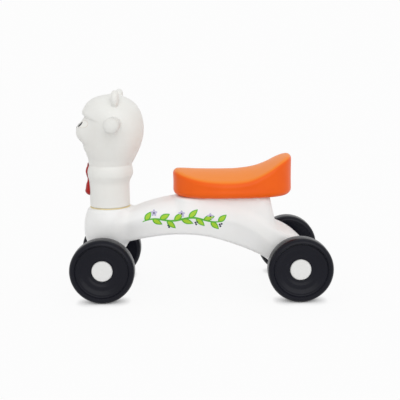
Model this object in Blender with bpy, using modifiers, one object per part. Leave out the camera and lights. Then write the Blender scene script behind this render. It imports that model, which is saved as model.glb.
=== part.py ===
"""Ride-on sheep: a low four-wheeled riding toy steered by turning its head.

The toy faces -X and stands on Z = 0. Sizes are in millimetres and become metres when a
mesh is made. Heights named "above the axles" are measured from the wheel centres.
"""
import math

import bmesh
import bpy
import numpy as np
from mathutils import Matrix

MM = 0.001

# Clearances
GAP = 0.3                 # between pieces that touch
RUNNING = 0.4             # between pieces that turn on each other
LABEL_LIFT = 0.8          # printed labels over a moulded surface
OVERCUT = 30.0            # how far a cutter runs past what it cuts

# Wheels and axles
WHEEL_RADIUS = 62.0
WHEEL_WIDTH = 37.0
WHEEL_BASE = 376.0
FRONT_TRACK = 181.0       # between the middles of the two front wheels
REAR_TRACK = 203.5
WHEEL_WALL = 3.2
TYRE_ROUNDING = 8.0
WHEEL_SIDES = 24
AXLE_RADIUS = 4.0
AXLE_TIP = 3.2            # axle end beyond the hub
HUB_DEPTH = 15.0          # hub face below the wheel's outer face
CAP_RADIUS = 20.0
CAP_HEIGHT = 4.7
CAP_WALL = 1.3
PUSH_NUT_RADIUS = 9.0
PUSH_NUT_THICKNESS = 1.8
SPACER_RADIUS = 9.0
FRONT_SPACER = 3.0
REAR_SPACER = 2.0

# Steering
STEER_OFFSET = 9.5        # steering axis behind the front axle
STEM_RADIUS = 14.0
SLEEVE_WALL = 2.6
SLEEVE_FLANGE_RADIUS = 24.0
SLEEVE_FLANGE = 2.0
STEER_WASHER = 1.2
STEER_WASHER_LIP = 0.8    # how far the washer shows round the neck
BOLT_RADIUS = 3.0
BOLT_HEAD_RADIUS = 6.0
BOLT_HEAD = 4.0
NUT_RADIUS = 6.0
NUT_HEIGHT = 6.0
NUT_WASHER_RADIUS = 17.0
NUT_WASHER = 2.0
SPIGOT_RADIUS = 12.5      # six-sided drive end of the stem
CARRIER_LENGTH = 30.0     # fore and aft
CARRIER_DROP = 14.0       # carrier's underside below the axle
TURNTABLE_RADIUS = 29.0
TURNTABLE = 6.5

# Body
BODY_WALL = 3.2
SKIM = 0.8                # moulded height that a flat seat face takes off
BEAM_ROUNDING = 17.0      # upper edges of the beam between the axles
BEAM_REAR_ROUNDING = 6.0  # and over the rear axle
BEAM_EASE_START = 0.56    # share of the wheelbase at which they start to sharpen
BEAM_EASE = 0.22          # share over which they do
EDGE_ROUNDING = 5.0       # lower and lesser edges
SADDLE_ROUNDING = 20.0    # upright corners of the saddle under the seat
SADDLE_BLEND = 7.0        # fillet between saddle and beam
BULB_BLEND = 9.0          # fillet between bulb and beam
BODY_REAR_ROUNDING = 24.0
BEAM_CROWN = 5.0          # how much the beam's top falls to its edges
BULB_BOTTOM = 19.5        # this and the next three are above the axles
BULB_TOP = 107.5
SADDLE_TOP = 129.5
REAR_UNDERSIDE = -24.0
SADDLE_HALF_WIDTH = 48.0
REAR_BOSS_RADIUS = 14.0
REAR_BOSS_LENGTH = 16.0
BUSH_WALL = 2.2
BUSH_LENGTH = 12.0
BUSH_FLANGE = 2.0
BUSH_FLANGE_RADIUS = 11.0

# Seat and its screws
SEAT_LENGTH = 233.5
SEAT_FRONT = 136.0        # seat's front end behind the front axle
SEAT_HALF_WIDTH = 72.0
SEAT_WALL = 3.2
SEAT_RIM = 9.0            # rounding of the upper edge
SEAT_HEM = 12.0           # rounding of the lower edge
SEAT_VENT = 3.0           # radius of the hole that lets the hollow breathe
SCREW_STATIONS = (176.0, 280.0)   # behind the front axle
SCREW_RADIUS = 2.4
SCREW_HEAD_RADIUS = 5.0
SCREW_HEAD = 3.0
SCREW_BITE = 14.0
WELL_RADIUS = 8.0
POST_WALL = 3.0
PLATE = 5.0               # material under the saddle that a screw clamps

# Head, handlebar and tie
NECK_RADIUS = 39.4
NECK_SEAT_RADIUS = 44.0   # flat face on the body under the neck
HEAD_WALL = 3.2
FOOT_WALL = 5.0
HEAD_HEIGHT = 221.0
EAR_RADIUS = 16.5
EAR_THICKNESS = 14.0
EAR_RISE = 0.9606 * HEAD_HEIGHT   # ear middles above the neck's foot
EAR_SPREAD = 43.0         # ear middles from the middle plane
EAR_SETBACK = 21.0        # behind the steering axis
BROW_DIP = 9.0            # how far the brow's line falls, one radian round from the front
TIE_EDGE = 0.8            # thickness of the tie's edge
EYE_RISE = 0.7511 * HEAD_HEIGHT   # middles above the neck's foot
NOSE_RISE = 0.7353 * HEAD_HEIGHT
EYE_ANGLE = 0.52          # radians round from the front
BAR_RADIUS = 11.0
BAR_SETBACK = 18.0
BAR_RISE = EYE_RISE
BAR_WALL = 1.6
GRIP_RADIUS = 14.8
GRIP_END = 113.0
GRIP_START = 48.0         # hidden in the head, which the grip is shaped to
GRIP_CAP = 4.0
LABEL_THICKNESS = 0.5
LABEL_START = 0.19        # side label, as shares of the wheelbase
LABEL_END = 0.63
LABEL_RISE = 84.0         # its ends above the axles
LABEL_ARCH = 5.0
LABEL_HALF_HEIGHT = 13.0

# Places that follow from the sizes above
AXLE_Z = WHEEL_RADIUS
FRONT_X = -WHEEL_BASE / 2
REAR_X = WHEEL_BASE / 2
STEER_X = FRONT_X + STEER_OFFSET
CARRIER_END = FRONT_TRACK / 2 - WHEEL_WIDTH / 2 - FRONT_SPACER - 2 * RUNNING
BOSS_END = REAR_TRACK / 2 - WHEEL_WIDTH / 2 - REAR_SPACER - BUSH_FLANGE - 3 * RUNNING
HUB_FACE = WHEEL_WIDTH / 2 - HUB_DEPTH
SLEEVE_RADIUS = STEM_RADIUS + RUNNING + SLEEVE_WALL
BUSH_BORE = AXLE_RADIUS + GAP
BUSH_RADIUS = BUSH_BORE + BUSH_WALL
BULB_TOP_Z = AXLE_Z + BULB_TOP
BULB_BOTTOM_Z = AXLE_Z + BULB_BOTTOM
FOOT_Z = BULB_TOP_Z + STEER_WASHER + 2 * GAP
TURNTABLE_TOP = BULB_BOTTOM_Z - SLEEVE_FLANGE - 2 * GAP
SEAT_Z = AXLE_Z + SADDLE_TOP + GAP
SEAT_X = FRONT_X + SEAT_FRONT
BAR_X = STEER_X + BAR_SETBACK
BAR_Z = FOOT_Z + BAR_RISE

# Loft tables. Body rows start with a share of the wheelbase from the front axle; then comes a
# height above the axles, as a share of the saddle's.
BODY_TOP = ((-0.05, 0.6795), (0.05, 0.725), (0.1, 0.766), (0.15, 0.811), (0.2, 0.861),
            (0.25, 0.905), (0.3, 0.938), (0.35, 0.966), (0.42, 0.988), (0.5, 0.9923),
            (0.58, 0.973), (0.66, 0.9112), (0.75, 0.7992), (0.84, 0.6371), (0.91, 0.529),
            (0.95, 0.4749), (1, 0.3822), (1.03, 0.305), (1.07, 0.1931), (1.12, 0))
BODY_BOTTOM = ((0, 0.2162), (0.1, 0.3089), (0.13, 0.322), (0.2, 0.366), (0.26, 0.396),
               (0.32, 0.417), (0.38, 0.428), (0.45, 0.421), (0.51, 0.402), (0.57, 0.3645),
               (0.63, 0.312), (0.7, 0.24), (0.76, 0.171), (0.82, 0.09), (0.86, 0.015),
               (0.9, -0.0618), (0.94, -0.139), (0.98, -0.1931), (1.12, -0.1931))
BODY_CREASE = ((0, 0.5251), (0.07, 0.5637), (0.17, 0.6486), (0.28, 0.6834), (0.39, 0.695),
               (0.5, 0.6873), (0.61, 0.6564), (0.68, 0.61), (0.79, 0.4556), (0.86, 0.2703),
               (0.93, 0.1158), (1, 0.0309), (1.12, 0))
BODY_SPINE = ((0.015, 0.4865), (0.18, 0.61), (0.35, 0.7104), (0.5, 0.7104), (0.62, 0.6409),
              (0.72, 0.5251), (0.8, 0.4093), (0.87, 0.278), (0.94, 0.1467), (1, 0.0695),
              (1.03, 0.0386))
# Half width as a share of the saddle's, and of the distance to the rear bosses' ends
BODY_WIDTH = ((0, 0.8333, 0), (0.1, 0.875, 0), (0.18, 0.9375, 0), (0.34, 1.0208, 0),
              (0.5, 1.0625, 0), (0.66, 1.1042, 0), (0.77, 0.7, 0.287), (0.85, 0.35, 0.5663),
              (0.93, 0.1, 0.8097), (0.99, 0, 0.9353), (1.05, 0, 0.9481), (1.12, 0, 0.8969))
# The bulb that holds the steering: height as a share of its top's, radius of the neck's
BULB = ((0.1767, 0.8629), (0.3442, 1.0787), (0.4558, 1.1878), (0.5302, 1.2337), (0.614, 1.2541),
        (0.7256, 1.2566), (0.8186, 1.2313), (0.8744, 1.1983), (0.9302, 1.1525), (0.986, 1.1117),
        (1.0419, 1.0406))
BULB_LEAN = 0.085         # forward shift for each millimetre down from the top
BODY_REAR_SHARE = 1.101
SADDLE_FRONT_SHARE = 0.38
SADDLE_REAR_SHARE = 0.9364    # at the height of the axles
SADDLE_REAR_RAKE = 0.0725     # less by this at the saddle's top

# Share of the seat's length, height of the crown above the seat's underside
SEAT_CROWN = ((0.0, 52), (0.05, 52.6), (0.10, 52.2), (0.20, 50.9), (0.30, 50.2), (0.40, 49.8),
              (0.50, 49.9), (0.60, 51.7), (0.70, 55.5), (0.80, 63.5), (0.90, 74.5),
              (0.95, 78), (1.0, 79.5))
SEAT_DROOP = ((0.0, 17), (0.3, 19), (0.6, 19), (0.75, 15), (1.0, 12))

# Head rows start with a share of its height. Reach to the front, to the rear and half width
# are shares of the neck's radius.
HEAD = ((0, 1, 1, 1), (0.1991, 1, 1.0051, 1), (0.221, 1.0076, 1.0305, 1.0127),
        (0.252, 1.0355, 1.1066, 1.075), (0.283, 1.0711, 1.1904, 1.135),
        (0.312, 1.0838, 1.2081, 1.143), (0.345, 1.0508, 1.1751, 1.132),
        (0.367, 1.0051, 1.165, 1.078), (0.4163, 1.0051, 1.2868, 1.1421),
        (0.4525, 1.0558, 1.401, 1.231), (0.4887, 1.1168, 1.4975, 1.3071),
        (0.5249, 1.1497, 1.5939, 1.3706), (0.5611, 1.1548, 1.6701, 1.4264),
        (0.6335, 1.1472, 1.7741, 1.4848), (0.7014, 1.1218, 1.8071, 1.5051),
        (0.7738, 1.0584, 1.7665, 1.4848), (0.8416, 1.0785, 1.6548, 1.4213),
        (0.8778, 1.053, 1.5508, 1.335), (0.9095, 0.9995, 1.4213, 1.2183),
        (0.9367, 0.8726, 1.2411, 1.066), (0.9593, 0.6897, 1.0305, 0.9036),
        (0.9819, 0.3547, 0.7766, 0.6599), (0.9955, -0.0761, 0.533, 0.3553),
        (1, -0.2792, 0.3299, 0.0761))
HEAD_RINGS = (0, 0.1991, 0.2308, 0.2579, 0.2896, 0.3167, 0.3484, 0.3688, 0.4163, 0.4615, 0.5068,
              0.543, 0.5747, 0.6018, 0.629, 0.6606, 0.7014, 0.733, 0.7602, 0.7873, 0.81, 0.8281,
              0.8507, 0.8778, 0.9095, 0.9367, 0.9593, 0.9774, 0.991)
HEAD_HOLLOW_RINGS = (0.2172, 0.3258, 0.3891, 0.4977, 0.5611, 0.6109, 0.6787, 0.724, 0.7692, 0.81,
                     0.8462, 0.905, 0.9367, 0.9593)
# How far the muzzle or the brow stands forward, as a share of the neck's radius
MUZZLE = ((0.4887, 0), (0.5249, 0.066), (0.5611, 0.0812), (0.5792, 0.1599), (0.5973, 0.2487),
          (0.6154, 0.3274), (0.6335, 0.3832), (0.6697, 0.4213), (0.7014, 0.4137), (0.7376, 0.3198),
          (0.7738, 0.1777), (0.7919, 0.0964), (0.8145, 0))
BROW = ((0.7964, 0), (0.81, 0.0102), (0.8258, 0.1269), (0.8416, 0.1421), (0.8597, 0.1244),
        (0.8778, 0.0812), (0.9095, 0.0228), (0.9457, 0))
# The tie's half width and thickness, as shares of the neck's radius. Its rows on the collar
# stand at the head's own rings, so it follows the collar closely.
TIE = ((0.101, 0.1269, 0.0761), (0.1165, 0.2792, 0.1777), (0.136, 0.3452, 0.2183),
       (0.1629, 0.3198, 0.1878), (0.1991, 0.2589, 0.1523), (0.2308, 0.1777, 0.0812),
       (0.2579, 0.16, 0.0457), (0.2896, 0.25, 0.068), (0.3167, 0.29, 0.08),
       (0.3484, 0.275, 0.075), (0.3688, 0.225, 0.066), (0.3888, 0.13, 0.045))

COLOURS = {
    "white_body": ((0.79, 0.79, 0.78), 0.38, 0.0),
    "white_head": ((0.74, 0.73, 0.68), 0.40, 0.0),
    "orange": ((0.86, 0.16, 0.02), 0.40, 0.0),
    "black_wheel": ((0.013, 0.014, 0.018), 0.42, 0.0),
    "grey_cap": ((0.66, 0.66, 0.65), 0.40, 0.0),
    "yellow_nylon": ((0.72, 0.46, 0.10), 0.45, 0.0),
    "red_tie": ((0.54, 0.02, 0.01), 0.40, 0.0),
    "black_print": ((0.012, 0.012, 0.014), 0.45, 0.0),
    "eye_print": ((0.68, 0.64, 0.60), 0.45, 0.0),
    "green_print": ((0.11, 0.48, 0.03), 0.45, 0.0),
    "natural_nylon": ((0.70, 0.68, 0.60), 0.50, 0.0),
    "black_fork": ((0.020, 0.020, 0.022), 0.50, 0.0),
    "steel": ((0.55, 0.56, 0.57), 0.32, 1.0),
}


# Scene helpers
def clear_scene():
    for obj in list(bpy.data.objects):
        bpy.data.objects.remove(obj, do_unlink=True)


def new_collection(name):
    collection = bpy.data.collections.new(name)
    bpy.context.scene.collection.children.link(collection)
    return collection


def material(name):
    found = bpy.data.materials.get(name)
    if found:
        return found
    colour, roughness, metallic = COLOURS[name]
    made = bpy.data.materials.new(name)
    made.use_nodes = True
    shader = made.node_tree.nodes["Principled BSDF"]
    shader.inputs["Base Color"].default_value = (*colour, 1.0)
    shader.inputs["Roughness"].default_value = roughness
    shader.inputs["Metallic"].default_value = metallic
    made.diffuse_color = (*colour, 1.0)
    return made


def add_object(name, mesh, paint):
    obj = bpy.data.objects.new(name, mesh)
    if paint is None:
        obj.hide_render = True
        obj.display_type = "WIRE"
        CUTTERS.objects.link(obj)
        return obj
    if not mesh.materials:
        mesh.materials.append(material(paint))
    PARTS.objects.link(obj)
    return obj


def shade(mesh, degrees=35):
    mesh.shade_smooth()
    mesh.set_sharp_from_angle(angle=math.radians(degrees))


def mesh_from_faces(name, points, faces):
    mesh = bpy.data.meshes.new(name)
    mesh.from_pydata([tuple(float(c) * MM for c in p) for p in points], [], faces)
    work = bmesh.new()
    work.from_mesh(mesh)
    bmesh.ops.recalc_face_normals(work, faces=work.faces)
    work.to_mesh(mesh)
    work.free()
    shade(mesh)
    return mesh


def cut(obj, cutter):
    step = obj.modifiers.new(cutter.name, "BOOLEAN")
    step.operation = "DIFFERENCE"
    step.object = cutter


def join(obj, other):
    step = obj.modifiers.new(other.name, "BOOLEAN")
    step.operation = "UNION"
    step.object = other


def box(name, low, high, paint=None, rounding=0.0):
    work = bmesh.new()
    bmesh.ops.create_cube(work, size=1.0)
    size = [(b - a) * MM for a, b in zip(low, high)]
    middle = [(a + b) / 2 * MM for a, b in zip(low, high)]
    work.transform(Matrix.Translation(middle) @ Matrix.Diagonal((*size, 1.0)))
    mesh = bpy.data.meshes.new(name)
    work.to_mesh(mesh)
    work.free()
    obj = add_object(name, mesh, paint)
    if rounding:
        bevel = obj.modifiers.new("rounding", "BEVEL")
        bevel.width = rounding * MM
        bevel.segments = 2
    return obj


def rod(name, radius, start, end, along, middle, paint=None, sides=20):
    """A round bar along Y or Z; middle holds its other two world coordinates."""
    work = bmesh.new()
    bmesh.ops.create_cone(work, cap_ends=True, segments=sides, radius1=radius * MM,
                          radius2=radius * MM, depth=(end - start) * MM)
    turn = Matrix.Rotation(math.pi / sides if sides % 4 == 0 else 0.0, 4, "Z")
    if along == "Y":
        turn = Matrix.Rotation(math.radians(90), 4, "X") @ turn
        place = (middle[0], (start + end) / 2, middle[1])
    else:
        place = (middle[0], middle[1], (start + end) / 2)
    work.transform(Matrix.Translation([c * MM for c in place]) @ turn)
    mesh = bpy.data.meshes.new(name)
    work.to_mesh(mesh)
    work.free()
    shade(mesh)
    return add_object(name, mesh, paint)


def turned(name, profile, place, side, paint, sides=24, mesh=None):
    """A turned piece; its profile holds (radius, height) and its top faces side * Y or up."""
    if mesh is None:
        mesh = bpy.data.meshes.new(name)
        count = len(profile)
        edges = [(i, i + 1) for i in range(count - 1)]
        if profile[0][0] > 0:
            edges.append((count - 1, 0))
        mesh.from_pydata([(r * MM, 0.0, z * MM) for r, z in profile], edges, [])
    obj = add_object(name, mesh, paint)
    screw = obj.modifiers.new("turn", "SCREW")
    screw.steps = sides
    screw.render_steps = sides
    screw.use_smooth_shade = True
    screw.use_merge_vertices = True
    screw.merge_threshold = 0.00001
    lay = Matrix.Rotation(-side * math.radians(90), 4, "X")
    obj.matrix_world = (Matrix.Translation([c * MM for c in place]) @ lay
                        @ Matrix.Rotation(math.pi / sides, 4, "Z"))
    return obj


# Curves and lofts
def curve(table, at, column=1):
    """A smooth line through a table's rows that never overshoots them."""
    rows = np.asarray(table, dtype=float)
    x, y = rows[:, 0], rows[:, column]
    step = np.diff(x)
    slope = np.diff(y) / step
    tangent = np.zeros_like(y)
    same = slope[:-1] * slope[1:] > 0
    weight_a = 2 * step[1:] + step[:-1]
    weight_b = step[1:] + 2 * step[:-1]
    safe_a = np.where(same, slope[:-1], 1.0)
    safe_b = np.where(same, slope[1:], 1.0)
    tangent[1:-1] = np.where(same, (weight_a + weight_b) / (weight_a / safe_a + weight_b / safe_b), 0)
    tangent[0], tangent[-1] = slope[0], slope[-1]
    at = np.clip(np.asarray(at, dtype=float), x[0], x[-1])
    i = np.clip(np.searchsorted(x, at, side="right") - 1, 0, len(step) - 1)
    t = (at - x[i]) / step[i]
    return ((2 * t**3 - 3 * t**2 + 1) * y[i] + (t**3 - 2 * t**2 + t) * step[i] * tangent[i]
            + (3 * t**2 - 2 * t**3) * y[i + 1] + (t**3 - t**2) * step[i] * tangent[i + 1])


def round_max(a, b, radius):
    """The overlap of two fields with its outer edge rounded."""
    corner = np.hypot(np.maximum(radius + a, 0), np.maximum(radius + b, 0))
    return np.minimum(-radius, np.maximum(a, b)) + corner


def round_min(a, b, radius):
    return -round_max(-a, -b, radius)


def rings_to_faces(rings, count):
    faces = []
    for row in range(rings - 1):
        for i in range(count):
            j = (i + 1) % count
            low, high = row * count, (row + 1) * count
            faces.append((low + i, low + j, high + j, high + i))
    return faces


def closed_loft(name, rings, paint=None):
    """A solid through closed rings. A level end becomes one face, another one a fan."""
    count = len(rings[0])
    points = [p for ring in rings for p in ring]
    faces = rings_to_faces(len(rings), count)
    last = (len(rings) - 1) * count
    for start in (0, last):
        if np.ptp([p[2] for p in points[start:start + count]]) < 1e-6:
            faces.append(tuple(range(start, start + count)))
            continue
        centre = np.mean(points[start:start + count], axis=0)
        points.append(centre)
        hub = len(points) - 1
        faces += [(start + i, start + (i + 1) % count, hub) for i in range(count)]
    return add_object(name, mesh_from_faces(name, points, faces), paint)


def skin(name, inner, outer, paint):
    """A thin solid between two matching grids of points."""
    rows, columns = len(inner), len(inner[0])
    points = [p for grid in (inner, outer) for row in grid for p in row]
    shift = rows * columns
    faces = []
    for r in range(rows - 1):
        for c in range(columns - 1):
            a = r * columns + c
            quad = (a, a + 1, a + columns + 1, a + columns)
            faces += [quad, tuple(v + shift for v in quad)]
    rim = list(range(columns))
    rim += [r * columns + columns - 1 for r in range(1, rows)]
    rim += [(rows - 1) * columns + c for c in range(columns - 2, -1, -1)]
    rim += [r * columns for r in range(rows - 2, 0, -1)]
    for k, a in enumerate(rim):
        b = rim[(k + 1) % len(rim)]
        faces.append((a, b, b + shift, a + shift))
    return add_object(name, mesh_from_faces(name, points, faces), paint)


# Body
def bulb_field(x, y, height):
    middle = STEER_X - BULB_LEAN * (BULB_TOP - height)
    side = np.hypot(x - middle, y) - NECK_RADIUS * curve(BULB, height / BULB_TOP)
    top_and_side = round_max(side, height - BULB_TOP - SKIM, 0.6 * EDGE_ROUNDING)
    return round_max(top_and_side, BULB_BOTTOM - height, 0.8 * EDGE_ROUNDING)


def body_width(share):
    return SADDLE_HALF_WIDTH * curve(BODY_WIDTH, share) + BOSS_END * curve(BODY_WIDTH, share, 2)


def beam_field(x, y, height):
    share = (x - FRONT_X) / WHEEL_BASE
    width = body_width(share)
    crease = SADDLE_TOP * curve(BODY_CREASE, share)
    crown = BEAM_CROWN * (y / width) ** 2
    top = height - SADDLE_TOP * curve(BODY_TOP, share) + crown
    rearward = np.clip((share - BEAM_EASE_START) / BEAM_EASE, 0, 1)
    rearward = rearward**2 * (3 - 2 * rearward)
    tilt = 0.95 - 0.17 * rearward
    rounding = BEAM_ROUNDING - (BEAM_ROUNDING - BEAM_REAR_ROUNDING) * rearward
    upper = (np.abs(y) - width + 0.14 * (height - crease)) / 1.01
    lower = (np.abs(y) - width + 0.26 * (crease - height)) / 1.03
    side = round_max(upper, lower, 0.6 * EDGE_ROUNDING)
    field = round_max(side, top * tilt, rounding)
    bottom = SADDLE_TOP * curve(BODY_BOTTOM, share) - height
    field = round_max(field, bottom * tilt, 1.2 * EDGE_ROUNDING)
    rear = FRONT_X + BODY_REAR_SHARE * WHEEL_BASE
    field = round_max(field, x - rear, BODY_REAR_ROUNDING)
    return round_max(field, STEER_X - x, EDGE_ROUNDING)


def saddle_field(x, y, height):
    """The raised part under the seat."""
    rear_share = SADDLE_REAR_SHARE - SADDLE_REAR_RAKE * height / SADDLE_TOP
    rear = x - FRONT_X - rear_share * WHEEL_BASE
    front = FRONT_X + SADDLE_FRONT_SHARE * WHEEL_BASE - x
    side = np.abs(y) - SADDLE_HALF_WIDTH - 0.10 * (SADDLE_TOP - height)
    field = round_max(round_max(side, rear, SADDLE_ROUNDING), front, SADDLE_ROUNDING)
    field = round_max(field, height - SADDLE_TOP - SKIM, EDGE_ROUNDING)
    crease = SADDLE_TOP * curve(BODY_CREASE, (x - FRONT_X) / WHEEL_BASE)
    return round_max(field, crease - height, EDGE_ROUNDING)


def body_field(x, y, height):
    field = round_min(beam_field(x, y, height), saddle_field(x, y, height), SADDLE_BLEND)
    field = round_max(field, height - SADDLE_TOP - SKIM, 0.8 * EDGE_ROUNDING)
    return round_min(field, bulb_field(x, y, height), BULB_BLEND)


def body_rings(stations, front_fan, rear_fan, count, inset):
    """Rings of body points, met by rays that leave the body's spine on all sides."""
    shares = np.linspace(BODY_SPINE[0][0], BODY_SPINE[-1][0], stations)
    origin_x = FRONT_X + shares * WHEEL_BASE
    origin_h = SADDLE_TOP * curve(BODY_SPINE, shares)
    run = np.gradient(origin_x)
    rise = np.gradient(origin_h)
    length = np.hypot(run, rise)
    tx, th = run / length, rise / length
    rays = []
    for k in range(front_fan, 0, -1):
        rays.append((0, -math.pi / 2 * k / (front_fan + 0.35)))
    rays += [(i, 0.0) for i in range(stations)]
    for k in range(1, rear_fan + 1):
        rays.append((stations - 1, math.pi / 2 * k / (rear_fan + 0.35)))
    around = np.linspace(0, 2 * math.pi, count, endpoint=False)
    index = np.array([r[0] for r in rays])
    lean = np.array([r[1] for r in rays])[:, None]
    ox, oh = origin_x[index][:, None], origin_h[index][:, None]
    ux, uh = tx[index][:, None], th[index][:, None]
    dx = np.sin(lean) * ux - np.cos(lean) * np.cos(around) * uh
    dh = np.sin(lean) * uh + np.cos(lean) * np.cos(around) * ux
    dy = np.cos(lean) * np.sin(around)
    reach = first_crossing(ox, 0.0, oh, dx, dy, dh, inset)
    x, y, z = ox + reach * dx, reach * dy, AXLE_Z + oh + reach * dh
    return [list(zip(*ring)) for ring in zip(x, y, z)]


def first_crossing(ox, oy, oh, dx, dy, dh, inset):
    """How far each ray runs before it leaves the body, less the wall."""
    def outside(reach):
        return body_field(ox + reach * dx, oy + reach * dy, oh + reach * dh) + inset > 0
    low = np.zeros(np.broadcast(dx, dy, dh).shape)
    high = np.full(low.shape, 2.0)
    for _ in range(80):
        inside = ~outside(high)
        low = np.where(inside, high, low)
        high = np.where(inside, high + 2.0, high)
    for _ in range(20):
        middle = (low + high) / 2
        out = outside(middle)
        high = np.where(out, middle, high)
        low = np.where(out, low, middle)
    return (low + high) / 2


def build_body():
    body = closed_loft("body_shell", body_rings(29, 3, 3, 24, 0.0), "white_body")
    hollow = closed_loft("body_hollow", body_rings(29, 2, 2, 12, BODY_WALL))
    cut(body, hollow)
    for side, word in ((-1, "left"), (1, "right")):
        low, high = sorted((side * (BOSS_END - REAR_BOSS_LENGTH), side * BOSS_END))
        boss = rod("rear_boss_" + word, REAR_BOSS_RADIUS, low, high, "Y", (REAR_X, AXLE_Z))
        join(body, boss)
    for number, station in enumerate(SCREW_STATIONS, 1):
        build_seat_post(body, number, FRONT_X + station)
    sleeve = SLEEVE_RADIUS + GAP
    cut(body, rod("steering_hole", sleeve, AXLE_Z, BULB_TOP_Z + OVERCUT, "Z", (STEER_X, 0),
                  sides=24))
    cut(body, rod("neck_seat_cut", NECK_SEAT_RADIUS, BULB_TOP_Z, BULB_TOP_Z + OVERCUT, "Z",
                  (STEER_X, 0), sides=32))
    reach = BOSS_END + 5.0
    cut(body, rod("rear_axle_hole", BUSH_RADIUS + GAP, -reach, reach, "Y", (REAR_X, AXLE_Z)))
    under = AXLE_Z + REAR_UNDERSIDE
    cut(body, box("rear_underside_cut", (REAR_X - 1.5 * WHEEL_RADIUS, -REAR_TRACK, 0),
                  (REAR_X + WHEEL_RADIUS, REAR_TRACK, under)))
    top = AXLE_Z + SADDLE_TOP
    side = 2 * SADDLE_HALF_WIDTH
    cut(body, box("saddle_top_cut", (FRONT_X + WHEEL_BASE / 4, -side, top),
                  (REAR_X, side, top + OVERCUT)))
    return body


def build_seat_post(body, number, x):
    """A post inside the body with a well that lets a screw reach the seat."""
    around = np.linspace(0, 2 * math.pi, 16, endpoint=False) + 0.2
    side_x = x + (WELL_RADIUS + POST_WALL) * np.cos(around)
    side_y = (WELL_RADIUS + POST_WALL) * np.sin(around)
    bottom = AXLE_Z + SADDLE_TOP * curve(BODY_BOTTOM, (side_x - FRONT_X) / WHEEL_BASE)
    top = AXLE_Z + SADDLE_TOP
    name = str(number)
    rings = [list(zip(side_x, side_y, bottom + BODY_WALL * 0.45)),
             list(zip(side_x, side_y, np.full(16, top - BODY_WALL * 0.4)))]
    join(body, closed_loft("post_" + name, rings))
    well_low = float(bottom.min()) - 12
    cut(body, rod("well_" + name, WELL_RADIUS, well_low, top - PLATE, "Z", (x, 0), sides=16))
    hole = SCREW_RADIUS + GAP
    cut(body, rod("screw_hole_" + name, hole, top - PLATE - 1, top + 2, "Z", (x, 0), sides=10))


# Seat
def seat_outline(angle):
    """Plan radius of the seat from its middle; angle 0 points to the rear."""
    power = 2.42 + 0.18 * np.cos(angle)
    along = np.abs(np.cos(angle) / (SEAT_LENGTH / 2)) ** power
    across = np.abs(np.sin(angle) / SEAT_HALF_WIDTH) ** power
    return (along + across) ** (-1 / power)


def seat_top(x, y):
    share = (x - SEAT_X) / SEAT_LENGTH
    droop = curve(SEAT_DROOP, share) * (np.abs(y) / SEAT_HALF_WIDTH) ** 1.6
    return SEAT_Z + curve(SEAT_CROWN, share) - droop


def seat_ring(angle, inset, drop=None, rise=None):
    reach = seat_outline(angle) - inset
    x = SEAT_X + SEAT_LENGTH / 2 + reach * np.cos(angle)
    y = reach * np.sin(angle)
    z = seat_top(x, y) - drop if rise is None else np.full_like(x, SEAT_Z + rise)
    return list(zip(x, y, z))


def seat_rings(count, top_steps, round_steps, inset):
    """Rings from the seat's crown over its rim and side to its underside."""
    angle = np.linspace(0, 2 * math.pi, count, endpoint=False)
    rings = []
    for k in range(1, top_steps + 1):
        share = k / top_steps
        reach = seat_outline(angle) - SEAT_RIM - inset
        rings.append(seat_ring(angle, seat_outline(angle) - share * reach, drop=inset))
    for k in range(1, round_steps + 1):
        a = math.pi / 2 * k / round_steps
        rings.append(seat_ring(angle, inset + SEAT_RIM * (1 - math.sin(a)),
                               drop=inset + SEAT_RIM * (1 - math.cos(a))))
    for k in range(round_steps + 1):
        a = math.pi / 2 * k / round_steps
        rings.append(seat_ring(angle, inset + SEAT_HEM * (1 - math.cos(a)),
                               rise=inset + SEAT_HEM * (1 - math.sin(a))))
    return rings


def build_seat():
    seat = closed_loft("seat_shell", seat_rings(30, 4, 2, 0.0), "orange")
    hollow = closed_loft("seat_hollow", seat_rings(20, 2, 1, SEAT_WALL))
    cut(seat, hollow)
    for number, station in enumerate(SCREW_STATIONS, 1):
        x = FRONT_X + station
        name = str(number)
        boss = rod("seat_boss_" + name, SCREW_RADIUS + POST_WALL + 1.5, SEAT_Z + 1.5,
                   SEAT_Z + SCREW_BITE + POST_WALL, "Z", (x, 0), sides=12)
        join(seat, boss)
        cut(seat, rod("seat_pilot_" + name, SCREW_RADIUS + GAP, SEAT_Z - 2,
                      SEAT_Z + SCREW_BITE + GAP, "Z", (x, 0), sides=10))
    middle = FRONT_X + sum(SCREW_STATIONS) / 2
    cut(seat, rod("seat_vent", SEAT_VENT, SEAT_Z - 2, SEAT_Z + 8, "Z", (middle, 0), sides=10))
    return seat


def build_seat_screw(number, x):
    head_top = AXLE_Z + SADDLE_TOP - PLATE - GAP
    tip = SEAT_Z + SCREW_BITE - 1.0
    profile = ((0, tip), (SCREW_RADIUS * 0.4, tip), (SCREW_RADIUS, tip - 3), (SCREW_RADIUS, head_top),
               (SCREW_HEAD_RADIUS, head_top), (SCREW_HEAD_RADIUS, head_top - SCREW_HEAD * 0.5),
               (SCREW_HEAD_RADIUS * 0.6, head_top - SCREW_HEAD), (0, head_top - SCREW_HEAD))
    return upright("seat_screw_%d" % number, profile, x, "steel", 12)


def upright(name, profile, x, paint, sides=24):
    """A piece turned about a vertical line at x, its heights measured from the floor."""
    return turned(name, profile, (x, 0, 0), 0, paint, sides)


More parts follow.
